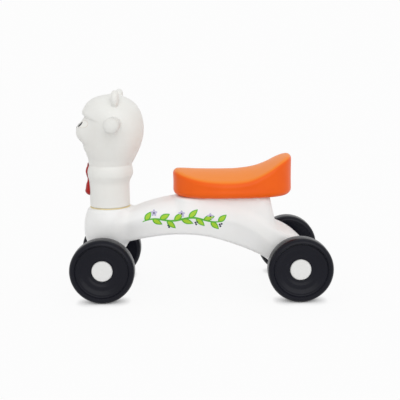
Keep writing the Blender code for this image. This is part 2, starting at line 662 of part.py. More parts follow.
# Wheels and axles
def wheel_profile():
    flat = 1 / math.cos(math.pi / WHEEL_SIDES)   # the flats, not the corners, reach the radius
    half = WHEEL_WIDTH / 2
    rim = WHEEL_RADIUS
    bore = AXLE_RADIUS + RUNNING
    seat_r = CAP_RADIUS + GAP
    wall = WHEEL_WALL
    r = TYRE_ROUNDING
    outer = [(bore, HUB_FACE), (seat_r, HUB_FACE), (seat_r, half - 10.2), (rim * 0.60, half - 6.9),
             (rim - r - 3, half - 1.3), (rim - r, half), (rim - r * 0.42, half - r * 0.18),
             (rim - r * 0.10, half - r * 0.65), (rim, half - r * 1.25)]
    back = [(rim, -half + r * 1.25), (rim - r * 0.25, -half + r * 0.35), (rim - r, -half),
            (rim - r - 4, -half + 1.3), (seat_r - 3, -half + 5.5), (seat_r - 4, -half), (bore, -half)]
    gap_low = -half + 9.5
    hollow = [(bore, gap_low), (seat_r - 8, gap_low), (rim - r - 4, -half + 1.3 + wall),
              (rim - wall, -half + r * 1.4), (rim - wall, half - r * 1.4),
              (rim - r - 3, half - 1.3 - wall), (seat_r + wall, HUB_FACE - wall), (bore, HUB_FACE - wall)]
    return [(p * flat if p > CAP_RADIUS + 5 else p, z) for p, z in outer + back + hollow]


def cap_profile():
    low = HUB_FACE + GAP
    high = low + CAP_HEIGHT
    inner = CAP_RADIUS - CAP_WALL * 1.6
    return [(0, high), (CAP_RADIUS - 1.2, high), (CAP_RADIUS, high - 1.2), (CAP_RADIUS, low),
            (inner, low), (inner, high - CAP_WALL), (0, high - CAP_WALL)]


def ring_profile(bore, radius, low, high):
    return [(bore, high), (radius, high), (radius, low), (bore, low)]


def build_corner(word, x, track, side, shared):
    """A wheel with its cap, push nut and spacer; side -1 is the left."""
    place = (x, side * track / 2, AXLE_Z)
    made = []
    hold = HUB_FACE + GAP
    inner_face = -WHEEL_WIDTH / 2 - RUNNING
    spacer = FRONT_SPACER if x < 0 else REAR_SPACER
    pieces = (
        ("wheel_", wheel_profile(), "black_wheel", WHEEL_SIDES),
        ("hub_cap_", cap_profile(), "grey_cap", 16),
        ("push_nut_", ring_profile(AXLE_RADIUS + GAP, PUSH_NUT_RADIUS, hold, hold + PUSH_NUT_THICKNESS),
         "steel", 12),
        ("spacer_", ring_profile(AXLE_RADIUS + GAP, SPACER_RADIUS, inner_face - spacer, inner_face),
         "natural_nylon", 12),
    )
    for prefix, profile, paint, sides in pieces:
        key = prefix if prefix != "spacer_" else prefix + str(spacer)
        obj = turned(prefix + word, profile, place, side, paint, sides, shared.get(key))
        shared[key] = obj.data
        made.append(obj)
    return made


def build_axles():
    for name, x, track in (("front_axle", FRONT_X, FRONT_TRACK), ("rear_axle", REAR_X, REAR_TRACK)):
        end = track / 2 + HUB_FACE + AXLE_TIP
        profile = [(0, end), (AXLE_RADIUS - 0.8, end), (AXLE_RADIUS, end - 0.8), (AXLE_RADIUS, 0.8 - end),
                   (AXLE_RADIUS - 0.8, -end), (0, -end)]
        turned(name, profile, (x, 0, AXLE_Z), 1, "steel", 16)
    for side, word in ((-1, "left"), (1, "right")):
        face = BOSS_END + GAP
        profile = [(BUSH_BORE, BUSH_FLANGE), (BUSH_FLANGE_RADIUS, BUSH_FLANGE), (BUSH_FLANGE_RADIUS, 0),
                   (BUSH_RADIUS, 0), (BUSH_RADIUS, -BUSH_LENGTH), (BUSH_BORE, -BUSH_LENGTH)]
        turned("rear_bush_" + word, profile, (REAR_X, side * face, AXLE_Z), side, "natural_nylon", 12)


# Steering
def build_fork():
    """Front axle carrier with the hollow stem that runs up into the neck."""
    low = AXLE_Z - CARRIER_DROP
    table_low = TURNTABLE_TOP - TURNTABLE
    half = CARRIER_LENGTH / 2
    fork = box("steering_fork", (FRONT_X - half, -CARRIER_END, low),
               (FRONT_X + half, CARRIER_END, table_low + 2.0), "black_fork", 2.5)
    join(fork, rod("turntable", TURNTABLE_RADIUS, table_low, TURNTABLE_TOP, "Z", (STEER_X, 0), sides=24))
    shoulder = BULB_TOP_Z + STEER_WASHER + GAP
    join(fork, rod("stem", STEM_RADIUS, TURNTABLE_TOP - 3, shoulder, "Z", (STEER_X, 0), sides=20))
    spigot_top = FOOT_Z + FOOT_WALL - 0.5
    join(fork, rod("stem_spigot", SPIGOT_RADIUS, shoulder - 2, spigot_top, "Z", (STEER_X, 0), sides=6))
    bore = BOLT_RADIUS + GAP
    cut(fork, rod("bolt_hole", bore, low - 5, spigot_top + 5, "Z", (STEER_X, 0), sides=12))
    cut(fork, rod("bolt_head_pocket", BOLT_HEAD_RADIUS + GAP, low - 5, low + BOLT_HEAD + 1, "Z",
                  (STEER_X, 0), sides=16))
    cut(fork, rod("stem_bore", STEM_RADIUS - 4.5, AXLE_Z + AXLE_RADIUS + 5, shoulder - 8, "Z",
                  (STEER_X, 0), sides=16))
    cut(fork, rod("front_axle_hole", AXLE_RADIUS + GAP, -CARRIER_END - 5, CARRIER_END + 5, "Y",
                  (FRONT_X, AXLE_Z), sides=16))
    return fork


def build_steering_hardware():
    low = AXLE_Z - CARRIER_DROP
    inner_floor = FOOT_Z + FOOT_WALL
    made = []
    bottom = BULB_BOTTOM_Z - GAP
    bore = STEM_RADIUS + RUNNING
    sleeve = [(bore, BULB_TOP_Z - 0.5), (SLEEVE_RADIUS, BULB_TOP_Z - 0.5), (SLEEVE_RADIUS, bottom),
              (SLEEVE_FLANGE_RADIUS, bottom), (SLEEVE_FLANGE_RADIUS, bottom - SLEEVE_FLANGE + GAP),
              (bore, bottom - SLEEVE_FLANGE + GAP)]
    upright("steering_sleeve", sleeve, STEER_X, "natural_nylon", 20)
    washer_low = BULB_TOP_Z + GAP
    washer = ring_profile(bore, NECK_RADIUS + STEER_WASHER_LIP, washer_low, washer_low + STEER_WASHER)
    upright("steering_washer", washer, STEER_X, "yellow_nylon", 24)
    washer_z = inner_floor + GAP
    ring = ring_profile(BOLT_RADIUS + GAP, NUT_WASHER_RADIUS, washer_z, washer_z + NUT_WASHER)
    made.append(upright("steering_nut_washer", ring, STEER_X, "steel", 20))
    nut_z = washer_z + NUT_WASHER + GAP
    across_flats = (BOLT_RADIUS + GAP) / math.cos(math.pi / 6)
    nut = ring_profile(across_flats, NUT_RADIUS, nut_z, nut_z + NUT_HEIGHT)
    made.append(upright("steering_nut", nut, STEER_X, "steel", 6))
    head_top = low + BOLT_HEAD + 1 - GAP
    tip = nut_z + NUT_HEIGHT + 3
    bolt = [(0, tip), (BOLT_RADIUS - 0.6, tip), (BOLT_RADIUS, tip - 1), (BOLT_RADIUS, head_top),
            (BOLT_HEAD_RADIUS, head_top), (BOLT_HEAD_RADIUS, head_top - BOLT_HEAD),
            (0, head_top - BOLT_HEAD)]
    made.append(upright("steering_bolt", bolt, STEER_X, "steel", 12))
    return made


# Head
def head_section(height):
    """Middle, half length and half width of the head or neck at a height above its foot."""
    share = height / HEAD_HEIGHT
    front, rear, half = (NECK_RADIUS * curve(HEAD, share, column) for column in (1, 2, 3))
    return STEER_X + (rear - front) / 2, (front + rear) / 2, half


def head_points(angle, height, lift=0.0):
    """Points on the head; angle 0 faces forward."""
    middle, half_length, half_width = head_section(height)
    reach = 1 / np.hypot(np.cos(angle) / half_length, np.sin(angle) / half_width)
    turn = np.abs((angle + math.pi) % (2 * math.pi) - math.pi)
    muzzle = NECK_RADIUS * curve(MUZZLE, height / HEAD_HEIGHT) * np.exp(-(turn / 0.52) ** 3)
    brow_height = (height + BROW_DIP * turn**2) / HEAD_HEIGHT
    brow = NECK_RADIUS * curve(BROW, brow_height) * np.exp(-(turn / 0.9) ** 4)
    reach = reach + muzzle + brow + lift
    return middle - reach * np.cos(angle), reach * np.sin(angle), FOOT_Z + height


def head_rings(shares, count, inset):
    angle = np.linspace(0, 2 * math.pi, count, endpoint=False)
    rings = []
    for share in shares:
        x, y, z = head_points(angle, np.full(count, HEAD_HEIGHT * share), -inset)
        rings.append(list(zip(x, y, z)))
    return rings


def build_head():
    head = closed_loft("head_shell", head_rings(HEAD_RINGS, 24, 0.0), "white_head")
    inner = (FOOT_WALL / HEAD_HEIGHT, *HEAD_HOLLOW_RINGS)
    hollow = closed_loft("head_hollow", head_rings(inner, 14, HEAD_WALL))
    cut(head, hollow)
    for side, word in ((-1, "left"), (1, "right")):
        join(head, build_ear("ear_" + word, side))
    floor = FOOT_Z + FOOT_WALL
    cut(head, rod("spigot_hole", SPIGOT_RADIUS + GAP, FOOT_Z - 5, floor + 3, "Z", (STEER_X, 0), sides=6))
    cut(head, rod("bar_hole", BAR_RADIUS + GAP, -GRIP_END, GRIP_END, "Y", (BAR_X, BAR_Z),
                  sides=20))
    return head


def build_ear(name, side):
    work = bmesh.new()
    bmesh.ops.create_cone(work, cap_ends=True, segments=18, radius1=EAR_RADIUS * MM,
                          radius2=EAR_RADIUS * MM, depth=EAR_THICKNESS * MM)
    place = (STEER_X + EAR_SETBACK, side * EAR_SPREAD, FOOT_Z + EAR_RISE)
    turn = Matrix.Rotation(math.radians(90), 4, "Y") @ Matrix.Rotation(math.pi / 18, 4, "Z")
    work.transform(Matrix.Translation([c * MM for c in place]) @ turn)
    mesh = bpy.data.meshes.new(name)
    work.to_mesh(mesh)
    work.free()
    ear = add_object(name, mesh, None)
    bevel = ear.modifiers.new("rounding", "BEVEL")
    bevel.width = EAR_THICKNESS * 0.36 * MM
    bevel.segments = 2
    return ear


def build_handlebar():
    end = GRIP_END - GRIP_CAP - GAP
    inner = BAR_RADIUS - BAR_WALL
    bar = turned("handlebar", ring_profile(inner, BAR_RADIUS, -end, end), (BAR_X, 0, BAR_Z), 1, "steel", 20)
    made = [bar]
    bore = BAR_RADIUS + GAP
    length = GRIP_END - GRIP_START
    profile = [(0, length), (GRIP_RADIUS * 0.45, length - 0.6), (GRIP_RADIUS * 0.8, length - 2.6),
               (GRIP_RADIUS, length - 7), (GRIP_RADIUS - 0.5, length * 0.5), (GRIP_RADIUS - 0.5, 0),
               (bore, 0), (bore, length - GRIP_CAP), (0, length - GRIP_CAP)]
    reach = GRIP_RADIUS * 2.2
    near_bar = [share for share in HEAD_RINGS if abs(share * HEAD_HEIGHT - BAR_RISE) < reach]
    relief = closed_loft("grip_relief", head_rings(near_bar, 24, -GAP))
    for side, word in ((-1, "left"), (1, "right")):
        grip = turned("grip_" + word, profile, (BAR_X, side * GRIP_START, BAR_Z), side, "white_head", 16)
        cut(grip, relief)
        made.append(grip)
    return made


def build_tie():
    """The tie hugs the collar and the neck at the front."""
    across = np.linspace(-1, 1, 7)
    inner, outer = [], []
    for row in TIE:
        height = HEAD_HEIGHT * row[0]
        half, thickness = NECK_RADIUS * row[1], NECK_RADIUS * row[2]
        middle, half_length, half_width = head_section(height)
        y = across * half
        flat = middle - half_length * np.sqrt(1 - (y / half_width) ** 2)
        back = flat - GAP
        front = back - TIE_EDGE - (thickness - TIE_EDGE) * np.sqrt(np.maximum(1 - across**2, 0))
        z = np.full(len(across), FOOT_Z + height)
        inner.append(list(zip(back, y, z)))
        outer.append(list(zip(front, y, z)))
    return skin("neck_tie", inner, outer, "red_tie")


def face_label(name, angle, height, half_across, half_up, paint):
    """An oval label on the face, printed and domed slightly."""
    inner, outer = [], []
    spin = np.linspace(0, 2 * math.pi, 14, endpoint=False)
    for share in (1.0, 0.5):
        _, half_length, _ = head_section(float(height))
        a = angle + share * half_across * np.cos(spin) / half_length
        h = height + share * half_up * np.sin(spin)
        inner.append(np.array(head_points(a, h, LABEL_LIFT)).T)
        outer.append(np.array(head_points(a, h, LABEL_LIFT + LABEL_THICKNESS)).T)
    rings = [inner[1], inner[0], outer[0], outer[1]]
    return closed_loft(name, rings, paint)


def build_side_label(name, side):
    """A long printed band on the body's flank."""
    columns = np.linspace(0, 1, 14)
    rows = np.linspace(-1, 1, 4)
    grids = []
    for lift in (LABEL_LIFT, LABEL_LIFT + LABEL_THICKNESS):
        grid = []
        for row in rows:
            share = LABEL_START + (LABEL_END - LABEL_START) * columns
            taper = np.sqrt(np.maximum(1 - (2 * columns - 1) ** 8, 0.09))
            middle = LABEL_RISE + LABEL_ARCH * (1 - (2 * columns - 1) ** 2)
            height = middle + row * LABEL_HALF_HEIGHT * taper
            x = FRONT_X + share * WHEEL_BASE
            reach = first_crossing(x, 0.0, height, 0.0, float(side), 0.0, -lift)
            grid.append(list(zip(x, side * reach, AXLE_Z + height)))
        grids.append(grid)
    return skin(name, grids[0], grids[1], "green_print")


def steering_pivot(pieces):
    """An empty on the steering axis that carries everything the head turns."""
    pivot = bpy.data.objects.new("steering_pivot", None)
    pivot.location = (STEER_X * MM, 0, AXLE_Z * MM)
    PARTS.objects.link(pivot)
    for obj in pieces:
        placed = obj.matrix_basis.copy()
        obj.parent = pivot
        obj.matrix_parent_inverse = Matrix.Translation(pivot.location).inverted()
        obj.matrix_basis = placed
    return pivot


def build_all():
    build_body()
    build_seat()
    for number, station in enumerate(SCREW_STATIONS, 1):
        build_seat_screw(number, FRONT_X + station)
    build_axles()
    shared = {}
    turning = [build_fork(), build_head(), build_tie()]
    turning += build_steering_hardware() + build_handlebar()
    for side, word in ((-1, "left"), (1, "right")):
        turning += build_corner("front_" + word, FRONT_X, FRONT_TRACK, side, shared)
        build_corner("rear_" + word, REAR_X, REAR_TRACK, side, shared)
        build_side_label("side_label_" + word, side)
        turning.append(face_label("eye_" + word, side * EYE_ANGLE, EYE_RISE, 6.0, 6.5, "eye_print"))
    turning.append(face_label("nose", 0.0, NOSE_RISE, 9.0, 5.5, "black_print"))
    turning.append(bpy.data.objects["front_axle"])
    steering_pivot(turning)


clear_scene()
PARTS = new_collection("ride_on_sheep")
CUTTERS = new_collection("cutters")
build_all()
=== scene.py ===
import math

import bmesh
import bpy
import numpy as np
from mathutils import Matrix, Vector


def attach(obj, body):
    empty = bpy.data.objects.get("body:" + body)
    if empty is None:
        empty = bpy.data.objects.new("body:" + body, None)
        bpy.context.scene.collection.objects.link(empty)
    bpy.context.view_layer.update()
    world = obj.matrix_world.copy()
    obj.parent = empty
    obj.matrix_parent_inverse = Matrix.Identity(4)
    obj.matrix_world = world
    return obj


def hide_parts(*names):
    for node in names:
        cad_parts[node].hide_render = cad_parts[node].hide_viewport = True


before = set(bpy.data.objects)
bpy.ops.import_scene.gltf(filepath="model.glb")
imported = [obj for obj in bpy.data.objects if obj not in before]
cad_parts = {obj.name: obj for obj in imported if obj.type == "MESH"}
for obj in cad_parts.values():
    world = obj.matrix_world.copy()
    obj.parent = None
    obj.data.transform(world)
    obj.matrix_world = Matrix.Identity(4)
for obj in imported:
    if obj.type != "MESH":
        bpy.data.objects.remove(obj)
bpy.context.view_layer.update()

MM = 0.001

# Sizes of the parts in millimetres, on the frame's own places. GAP lies between pieces that rest
# on each other, RUNNING between pieces that turn on each other; EASE is a corner's rounding.
GAP, RUNNING = 0.3, 0.4
SIDES = ((-1, "left"), (1, "right"))
WHEEL_BASE, FRONT_TRACK, REAR_TRACK = 376.0, 181.0, 203.5
WHEEL_RADIUS, WHEEL_WIDTH, HUB_DEPTH = 62.0, 37.0, 15.0
TYRE_ROUNDING, TYRE_SHOULDER = 8.0, 10.0
FRONT_X, REAR_X, AXLE_Z = -WHEEL_BASE / 2, WHEEL_BASE / 2, WHEEL_RADIUS
HUB_FACE = WHEEL_WIDTH / 2 - HUB_DEPTH
CAP_RADIUS, CAP_HEIGHT, CAP_WALL, CAP_EDGE, CAP_POCKET = 20.0, 4.7, 1.3, 1.6, 11.4
CAP_DIMPLE_RADIUS, CAP_DIMPLE = 2.4, 0.35
CAP_RECESS = CAP_RADIUS - 1.6 * CAP_WALL
AXLE_RADIUS, AXLE_CHAMFER, AXLE_TIP = 4.0, 0.8, 3.2
FRONT_SPACER, REAR_SPACER, SPACER_RADIUS = 3.0, 2.0, 9.0
RING_EASE, CAP_EASE, HUB_EASE, BOSS_EASE = 0.4, 0.9, 1.8, 1.0
BUSH_WALL, BUSH_LENGTH, BUSH_FLANGE, BUSH_FLANGE_RADIUS = 2.2, 12.0, 2.0, 11.0
STEER_X, STEM_RADIUS, SLEEVE_WALL = FRONT_X + 9.5, 14.0, 2.6
BULB_BOTTOM, BULB_TOP, SADDLE_TOP = 19.5, 107.5, 129.5
BULB_TOP_Z = AXLE_Z + BULB_TOP
SKIM, EDGE_ROUNDING = 0.8, 5.0
BEAM_ROUNDING, BEAM_REAR_ROUNDING, BEAM_EASE_START, BEAM_EASE = 17.0, 6.0, 0.56, 0.22
SADDLE_HALF_WIDTH, SADDLE_ROUNDING, SADDLE_BLEND = 48.0, 20.0, 7.0
BULB_BLEND, BODY_REAR_ROUNDING, BEAM_CROWN = 9.0, 24.0, 5.0
REAR_UNDERSIDE_Z = AXLE_Z - 24.0
BOSS_END = REAR_TRACK / 2 - WHEEL_WIDTH / 2 - REAR_SPACER - BUSH_FLANGE - 3 * RUNNING
BOSS_RADIUS, BOSS_LENGTH, AXLE_HOLE = 14.0, 16.0, 7.0
NECK_SEAT_RADIUS = 44.0
SEAT_LENGTH, SEAT_HALF_WIDTH, SEAT_RIM, SEAT_HEM = 233.5, 72.0, 9.0, 12.0
SEAT_X, SEAT_Z = FRONT_X + 136.0, AXLE_Z + SADDLE_TOP + GAP
SCREW_X = (FRONT_X + 176.0, FRONT_X + 280.0)
WELL_RADIUS, PLATE = 8.0, 5.0
WASHER_THICKNESS, WASHER_LIP = 1.2, 0.3
NECK_RADIUS, HEAD_HEIGHT = 39.4, 221.0
FOOT_Z = BULB_TOP_Z + WASHER_THICKNESS + 2 * GAP
EAR_RADIUS, EAR_THICKNESS = 16.5, 14.0
EAR_X, EAR_Y, EAR_Z = STEER_X + 21.0, 43.0, FOOT_Z + 212.3
BAR_X, BAR_Z = STEER_X + 18.0, FOOT_Z + 166.0
GRIP_RADIUS, GRIP_START, GRIP_END, GRIP_DOME = 14.8, 48.0, 113.0, 9.0

# Loft tables. Body rows start with a share of the wheelbase from the front axle; then comes a
# height above the axles, as a share of the saddle's. BODY_WIDTH holds shares of the saddle's half
# width and of the bosses' end, which are added.
BODY_TOP = ((-0.05, 0.6795), (0.05, 0.725), (0.1, 0.766), (0.15, 0.811), (0.2, 0.861),
            (0.25, 0.905), (0.3, 0.938), (0.35, 0.966), (0.42, 0.988), (0.5, 0.9923),
            (0.58, 0.973), (0.66, 0.9112), (0.75, 0.7992), (0.84, 0.6371), (0.91, 0.529),
            (0.95, 0.4749), (1, 0.3822), (1.03, 0.305), (1.07, 0.1931), (1.12, 0))
BODY_BOTTOM = ((0, 0.2162), (0.1, 0.3089), (0.13, 0.322), (0.2, 0.366), (0.26, 0.396),
               (0.32, 0.417), (0.38, 0.428), (0.45, 0.421), (0.51, 0.402), (0.57, 0.3645),
               (0.63, 0.312), (0.7, 0.24), (0.76, 0.171), (0.82, 0.09), (0.86, 0.015),
               (0.9, -0.0618), (0.94, -0.139), (0.98, -0.1931), (1.12, -0.1931))
BODY_CREASE = ((0, 0.5251), (0.07, 0.5637), (0.17, 0.6486), (0.28, 0.6834), (0.39, 0.695),
               (0.5, 0.6873), (0.61, 0.6564), (0.68, 0.61), (0.79, 0.4556), (0.86, 0.2703),
               (0.93, 0.1158), (1, 0.0309), (1.12, 0))
BODY_SPINE = ((0.015, 0.4865), (0.18, 0.61), (0.35, 0.7104), (0.5, 0.7104), (0.62, 0.6409),
              (0.72, 0.5251), (0.8, 0.4093), (0.87, 0.278), (0.94, 0.1467), (1, 0.0695),
              (1.03, 0.0386))
BODY_WIDTH = ((0, 0.8333, 0), (0.1, 0.875, 0), (0.18, 0.9375, 0), (0.34, 1.0208, 0),
              (0.5, 1.0625, 0), (0.66, 1.1042, 0), (0.77, 0.7, 0.287), (0.85, 0.35, 0.5663),
              (0.93, 0.1, 0.8097), (0.99, 0, 0.9353), (1.05, 0, 0.9481), (1.12, 0, 0.8969))
# The bulb's radius as shares of the neck's, at shares of its own height
BULB = ((0.1767, 0.8629), (0.3442, 1.0787), (0.4558, 1.1878), (0.5302, 1.2337), (0.614, 1.2541),
        (0.7256, 1.2566), (0.8186, 1.2313), (0.8744, 1.1983), (0.9302, 1.1525), (0.986, 1.1117),
        (1.0419, 1.0406))
# How far the bulb leans back for each millimetre of height; then where body and saddle end, as
# shares of the wheelbase, and how much the saddle's rear is raked
BULB_LEAN, BODY_REAR_SHARE = 0.085, 1.101
SADDLE_FRONT_SHARE, SADDLE_REAR_SHARE, SADDLE_REAR_RAKE = 0.38, 0.9364, 0.0725
# The seat's height along its middle line, and how far its sides droop, in millimetres
SEAT_CROWN = ((0.0, 52), (0.05, 52.6), (0.10, 52.2), (0.20, 50.9), (0.30, 50.2), (0.40, 49.8),
              (0.50, 49.9), (0.60, 51.7), (0.70, 55.5), (0.80, 63.5), (0.90, 74.5),
              (0.95, 78), (1.0, 79.5))
SEAT_DROOP = ((0.0, 17), (0.3, 19), (0.6, 19), (0.75, 15), (1.0, 12))
# Head rows start with a share of its height; the rest are shares of the neck's radius: the reach
# to the front, to the rear and to each side, then how far muzzle and brow stand out, and the
# tie's half width and thickness.
HEAD = ((0, 1, 1, 1), (0.1991, 1, 1.0051, 1), (0.221, 1.0076, 1.0305, 1.0127),
        (0.252, 1.0355, 1.1066, 1.075), (0.283, 1.0711, 1.1904, 1.135),
        (0.312, 1.0838, 1.2081, 1.143), (0.345, 1.0508, 1.1751, 1.132),
        (0.367, 1.0051, 1.165, 1.078), (0.4163, 1.0051, 1.2868, 1.1421),
        (0.4525, 1.0558, 1.401, 1.231), (0.4887, 1.1168, 1.4975, 1.3071),
        (0.5249, 1.1497, 1.5939, 1.3706), (0.5611, 1.1548, 1.6701, 1.4264),
        (0.6335, 1.1472, 1.7741, 1.4848), (0.7014, 1.1218, 1.8071, 1.5051),
        (0.7738, 1.0584, 1.7665, 1.4848), (0.8416, 1.0785, 1.6548, 1.4213),
        (0.8778, 1.053, 1.5508, 1.335), (0.9095, 0.9995, 1.4213, 1.2183),
        (0.9367, 0.8726, 1.2411, 1.066), (0.9593, 0.6897, 1.0305, 0.9036),
        (0.9819, 0.3547, 0.7766, 0.6599), (0.9955, -0.0761, 0.533, 0.3553),
        (1, -0.2792, 0.3299, 0.0761))
MUZZLE = ((0.4887, 0), (0.5249, 0.066), (0.5611, 0.0812), (0.5792, 0.1599), (0.5973, 0.2487),
          (0.6154, 0.3274), (0.6335, 0.3832), (0.6697, 0.4213), (0.7014, 0.4137), (0.7376, 0.3198),
          (0.7738, 0.1777), (0.7919, 0.0964), (0.8145, 0))
BROW = ((0.7964, 0), (0.81, 0.0102), (0.8258, 0.1269), (0.8416, 0.1421), (0.8597, 0.1244),
        (0.8778, 0.0812), (0.9095, 0.0228), (0.9457, 0))
TIE = ((0.101, 0.1269, 0.0761), (0.1165, 0.2792, 0.1777), (0.136, 0.3452, 0.2183),
       (0.1629, 0.3198, 0.1878), (0.1991, 0.2589, 0.1523), (0.2308, 0.1777, 0.0812),
       (0.2579, 0.16, 0.0457), (0.2896, 0.25, 0.068), (0.3167, 0.29, 0.08),
       (0.3484, 0.275, 0.075), (0.3688, 0.225, 0.066), (0.3888, 0.13, 0.045))
# Where muzzle, brow and brow crease fade out round the head, in radians from the front
MUZZLE_TURN, BROW_TURN, CREASE_TURN, CREASE_SPREAD = 0.52, 0.9, 0.5, 0.28
# How far the brow's line falls one radian round, and how much of the top has closer rings
BROW_DIP, CROWN = 9.0, 16.0
# Lines pressed into the head: depth, height above the neck's foot, and half width
BROW_CREASE = (1.7, 177.6, 1.9)
COLLAR_LINE = (1.1, 82.5, 1.7)
# Rounding of the neck's foot: height and inset
FOOT_EDGE = ((0.0, 1.6), (0.35, 0.6))
# The ear's dish: share of its radius, and depth
EAR_DISH = ((0, 2.2), (0.55, 1.8))
# The grip's waist: how slim, and how far along
GRIP_WAIST = ((0.45, 43.0), (0.6, 26.0), (0.5, 0.0))
# Where on the head's height the tie's blade ends and its knot begins, the share over which each
# fades, and the thickness of its edge; then the knot's two creases (depth, share across, half
# width) and the blade's ridge (height, half width)
BLADE_TOP, KNOT_BOTTOM, TIE_EASE, TIE_EDGE = 0.225, 0.262, 0.02, 0.8
KNOT_CREASE = (0.35, 0.42, 0.10)
BLADE_RIDGE = (0.45, 0.16)
# Face prints: radians from the front, height above the neck's foot, half width, half height, and
# how far they stand off the skin
EYE_EDGE = (0.452, 164.6, 11.3, 7.0, 0.16)
EYE_PALE = (0.448, 164.6, 10.8, 6.5, 0.24)
PUPIL, PUPIL_SPREAD, PUPIL_LEAN = (0.312, 163.9, 3.4, 4.9, 0.42), -0.15, 0.03
NOSE, NOSE_SPREAD = (0.0, 159.5, 8.2, 5.4, 0.30), 0.18
# The wheel's dished face, from the hub outwards: share of its radius, and depth below its side;
# its back, inwards: radius and depth; and the parting line round the tread: height, half width
WHEEL_DISH = ((0.42, 11.2), (0.47, 9.4), (0.62, 8.9), (0.735, 6.0), (0.795, 6.3), (0.83, 2.3),
              (0.855, 0.9))
WHEEL_BACK = ((50.0, 1.3), (17.3, 5.5), (16.3, 0.0))
TREAD_LINE = (0.05, 0.9)
# Cutters that level the body under its tail and under the seat: two opposite corners
TAIL_CUT = ((REAR_X - 90, -120, 0), (REAR_X + 60, 120, REAR_UNDERSIDE_Z))
SEAT_CUT = ((FRONT_X + 94, -100, AXLE_Z + SADDLE_TOP), (REAR_X, 100, AXLE_Z + SADDLE_TOP + 30))

# The printed sprig: its ends, the middle line's height above the axles, its arch and its waves
SPRIG_START, SPRIG_END = -112.0, 44.0
SPRIG_RISE, SPRIG_ARCH, SPRIG_WAVE = 84.0, 5.0, 3.2
STEM_TIP, STEM_SWELL = 0.5, 1.5
LEAVES, LEAF_LENGTH, LEAF_WIDTH, LEAF_ANGLE, LEAF_TAPER = 11, 25.0, 11.5, 36.0, 7.0
HEART_START, HEART_WIDTH = 3.0, 7.0
PETAL_START, PETAL_LENGTH, PETAL_WIDTH = 0.6, 6.4, 4.6
EYELET_RADIUS, BERRY_RADIUS = 1.6, 1.9
BERRY_TRIO = ((0, 0), (3.9, 1.4), (1.4, -3.6))
# Places along the sprig, as shares, and heights above or below the stem
BLOSSOMS = ((0.145, 11.5), (0.49, 11.0), (0.845, 10.5))
BERRIES = ((0.32, -10.0), (0.66, -10.0), (0.96, -6.0))
# How far each print stands off the flank, and how deep its back lies in it
STEM_INK, LEAF_INK, HEART_INK = 0.15, 0.20, 0.28
PETAL_INK, BERRY_INK, EYELET_INK, INK_ROOT = 0.22, 0.26, 0.34, 0.5
# Grid on which the flank's reach is measured under the prints
FLANK_X = np.arange(SPRIG_START - 14, SPRIG_END + 26, 1.5)
FLANK_HEIGHT = np.arange(56.0, 116.0, 1.0)

# Studio: light from all round, softboxes (strength, width, tilt from overhead and turn in degrees),
# and the plain white that the camera sees of floor and backdrop
WORLD_FILL = 0.76
SOFTBOXES = (("overhead softbox", 0.10, 50, -8, 0), ("front softbox", 0.94, 60, 71, 12))
FLOOR_REACH_M, FLOOR_PLAIN, BACKDROP_WHITE, CONTACT_SHADE_MM = 60.0, 0.92, 0.977, 20.0
# The photograph's camera, solved from the four wheels
CAMERA_PLACE = (-14.6, -1436.5, 447.1)
CAMERA_YAW, CAMERA_PITCH, CAMERA_ROLL = 0.617, 10.576, 0.83
CAMERA_FOCUS_PIXELS, PHOTO_PIXELS, SENSOR_MM = 730.7, 400, 36.0

# Scales of the surfaces in millimetres. The moulds' blasted grain is nearer 0.2 mm and the ink's
# mesh nearer 0.15 mm. Both are drawn at about 1 mm so that they show; each finish gives its grain.
DRIFT_MM, PEEL_MM, PEEL_DEPTH_MM = 55.0, 7.0, 0.12
SEAM_MM, SEAM_HEIGHT_MM = 0.7, 0.22
INK_MESH_MM, INK_DEPTH_MM = 0.9, 0.03
TURNING_MM, TURNING_DEPTH_MM, CLOUD_MM = 1.6, 0.03, 12.0


# Colour and finish
def linear(hex_colour):
    """A hex colour as the renderer's linear red, green, blue and alpha."""
    values = [int(hex_colour[i:i + 2], 16) / 255 for i in (1, 3, 5)]
    return [v / 12.92 if v <= 0.04045 else ((v + 0.055) / 1.055) ** 2.4 for v in values] + [1.0]


def connect(tree, node, links):
    """Links a node's inputs to other nodes' outputs."""
    for name, (source, output) in links.items():
        tree.links.new(source.outputs[output], node.inputs[name])


def add_node(tree, kind, settings=None, links=None):
    """Adds a node. Settings and links are by the name of an input, or of a setting."""
    node = tree.nodes.new(kind)
    for name, value in (settings or {}).items():
        if isinstance(name, int) or name in node.inputs:
            node.inputs[name].default_value = value
        else:
            setattr(node, name, value)
    connect(tree, node, links or {})
    return node


def finish(name, **sockets):
    """A new material with its shader's constant sockets set."""
    made = bpy.data.materials.new(name)
    made.use_nodes = True
    tree = made.node_tree
    shader = tree.nodes["Principled BSDF"]
    for socket, value in sockets.items():
        shader.inputs[socket.replace("_", " ")].default_value = value
    return made, tree, shader


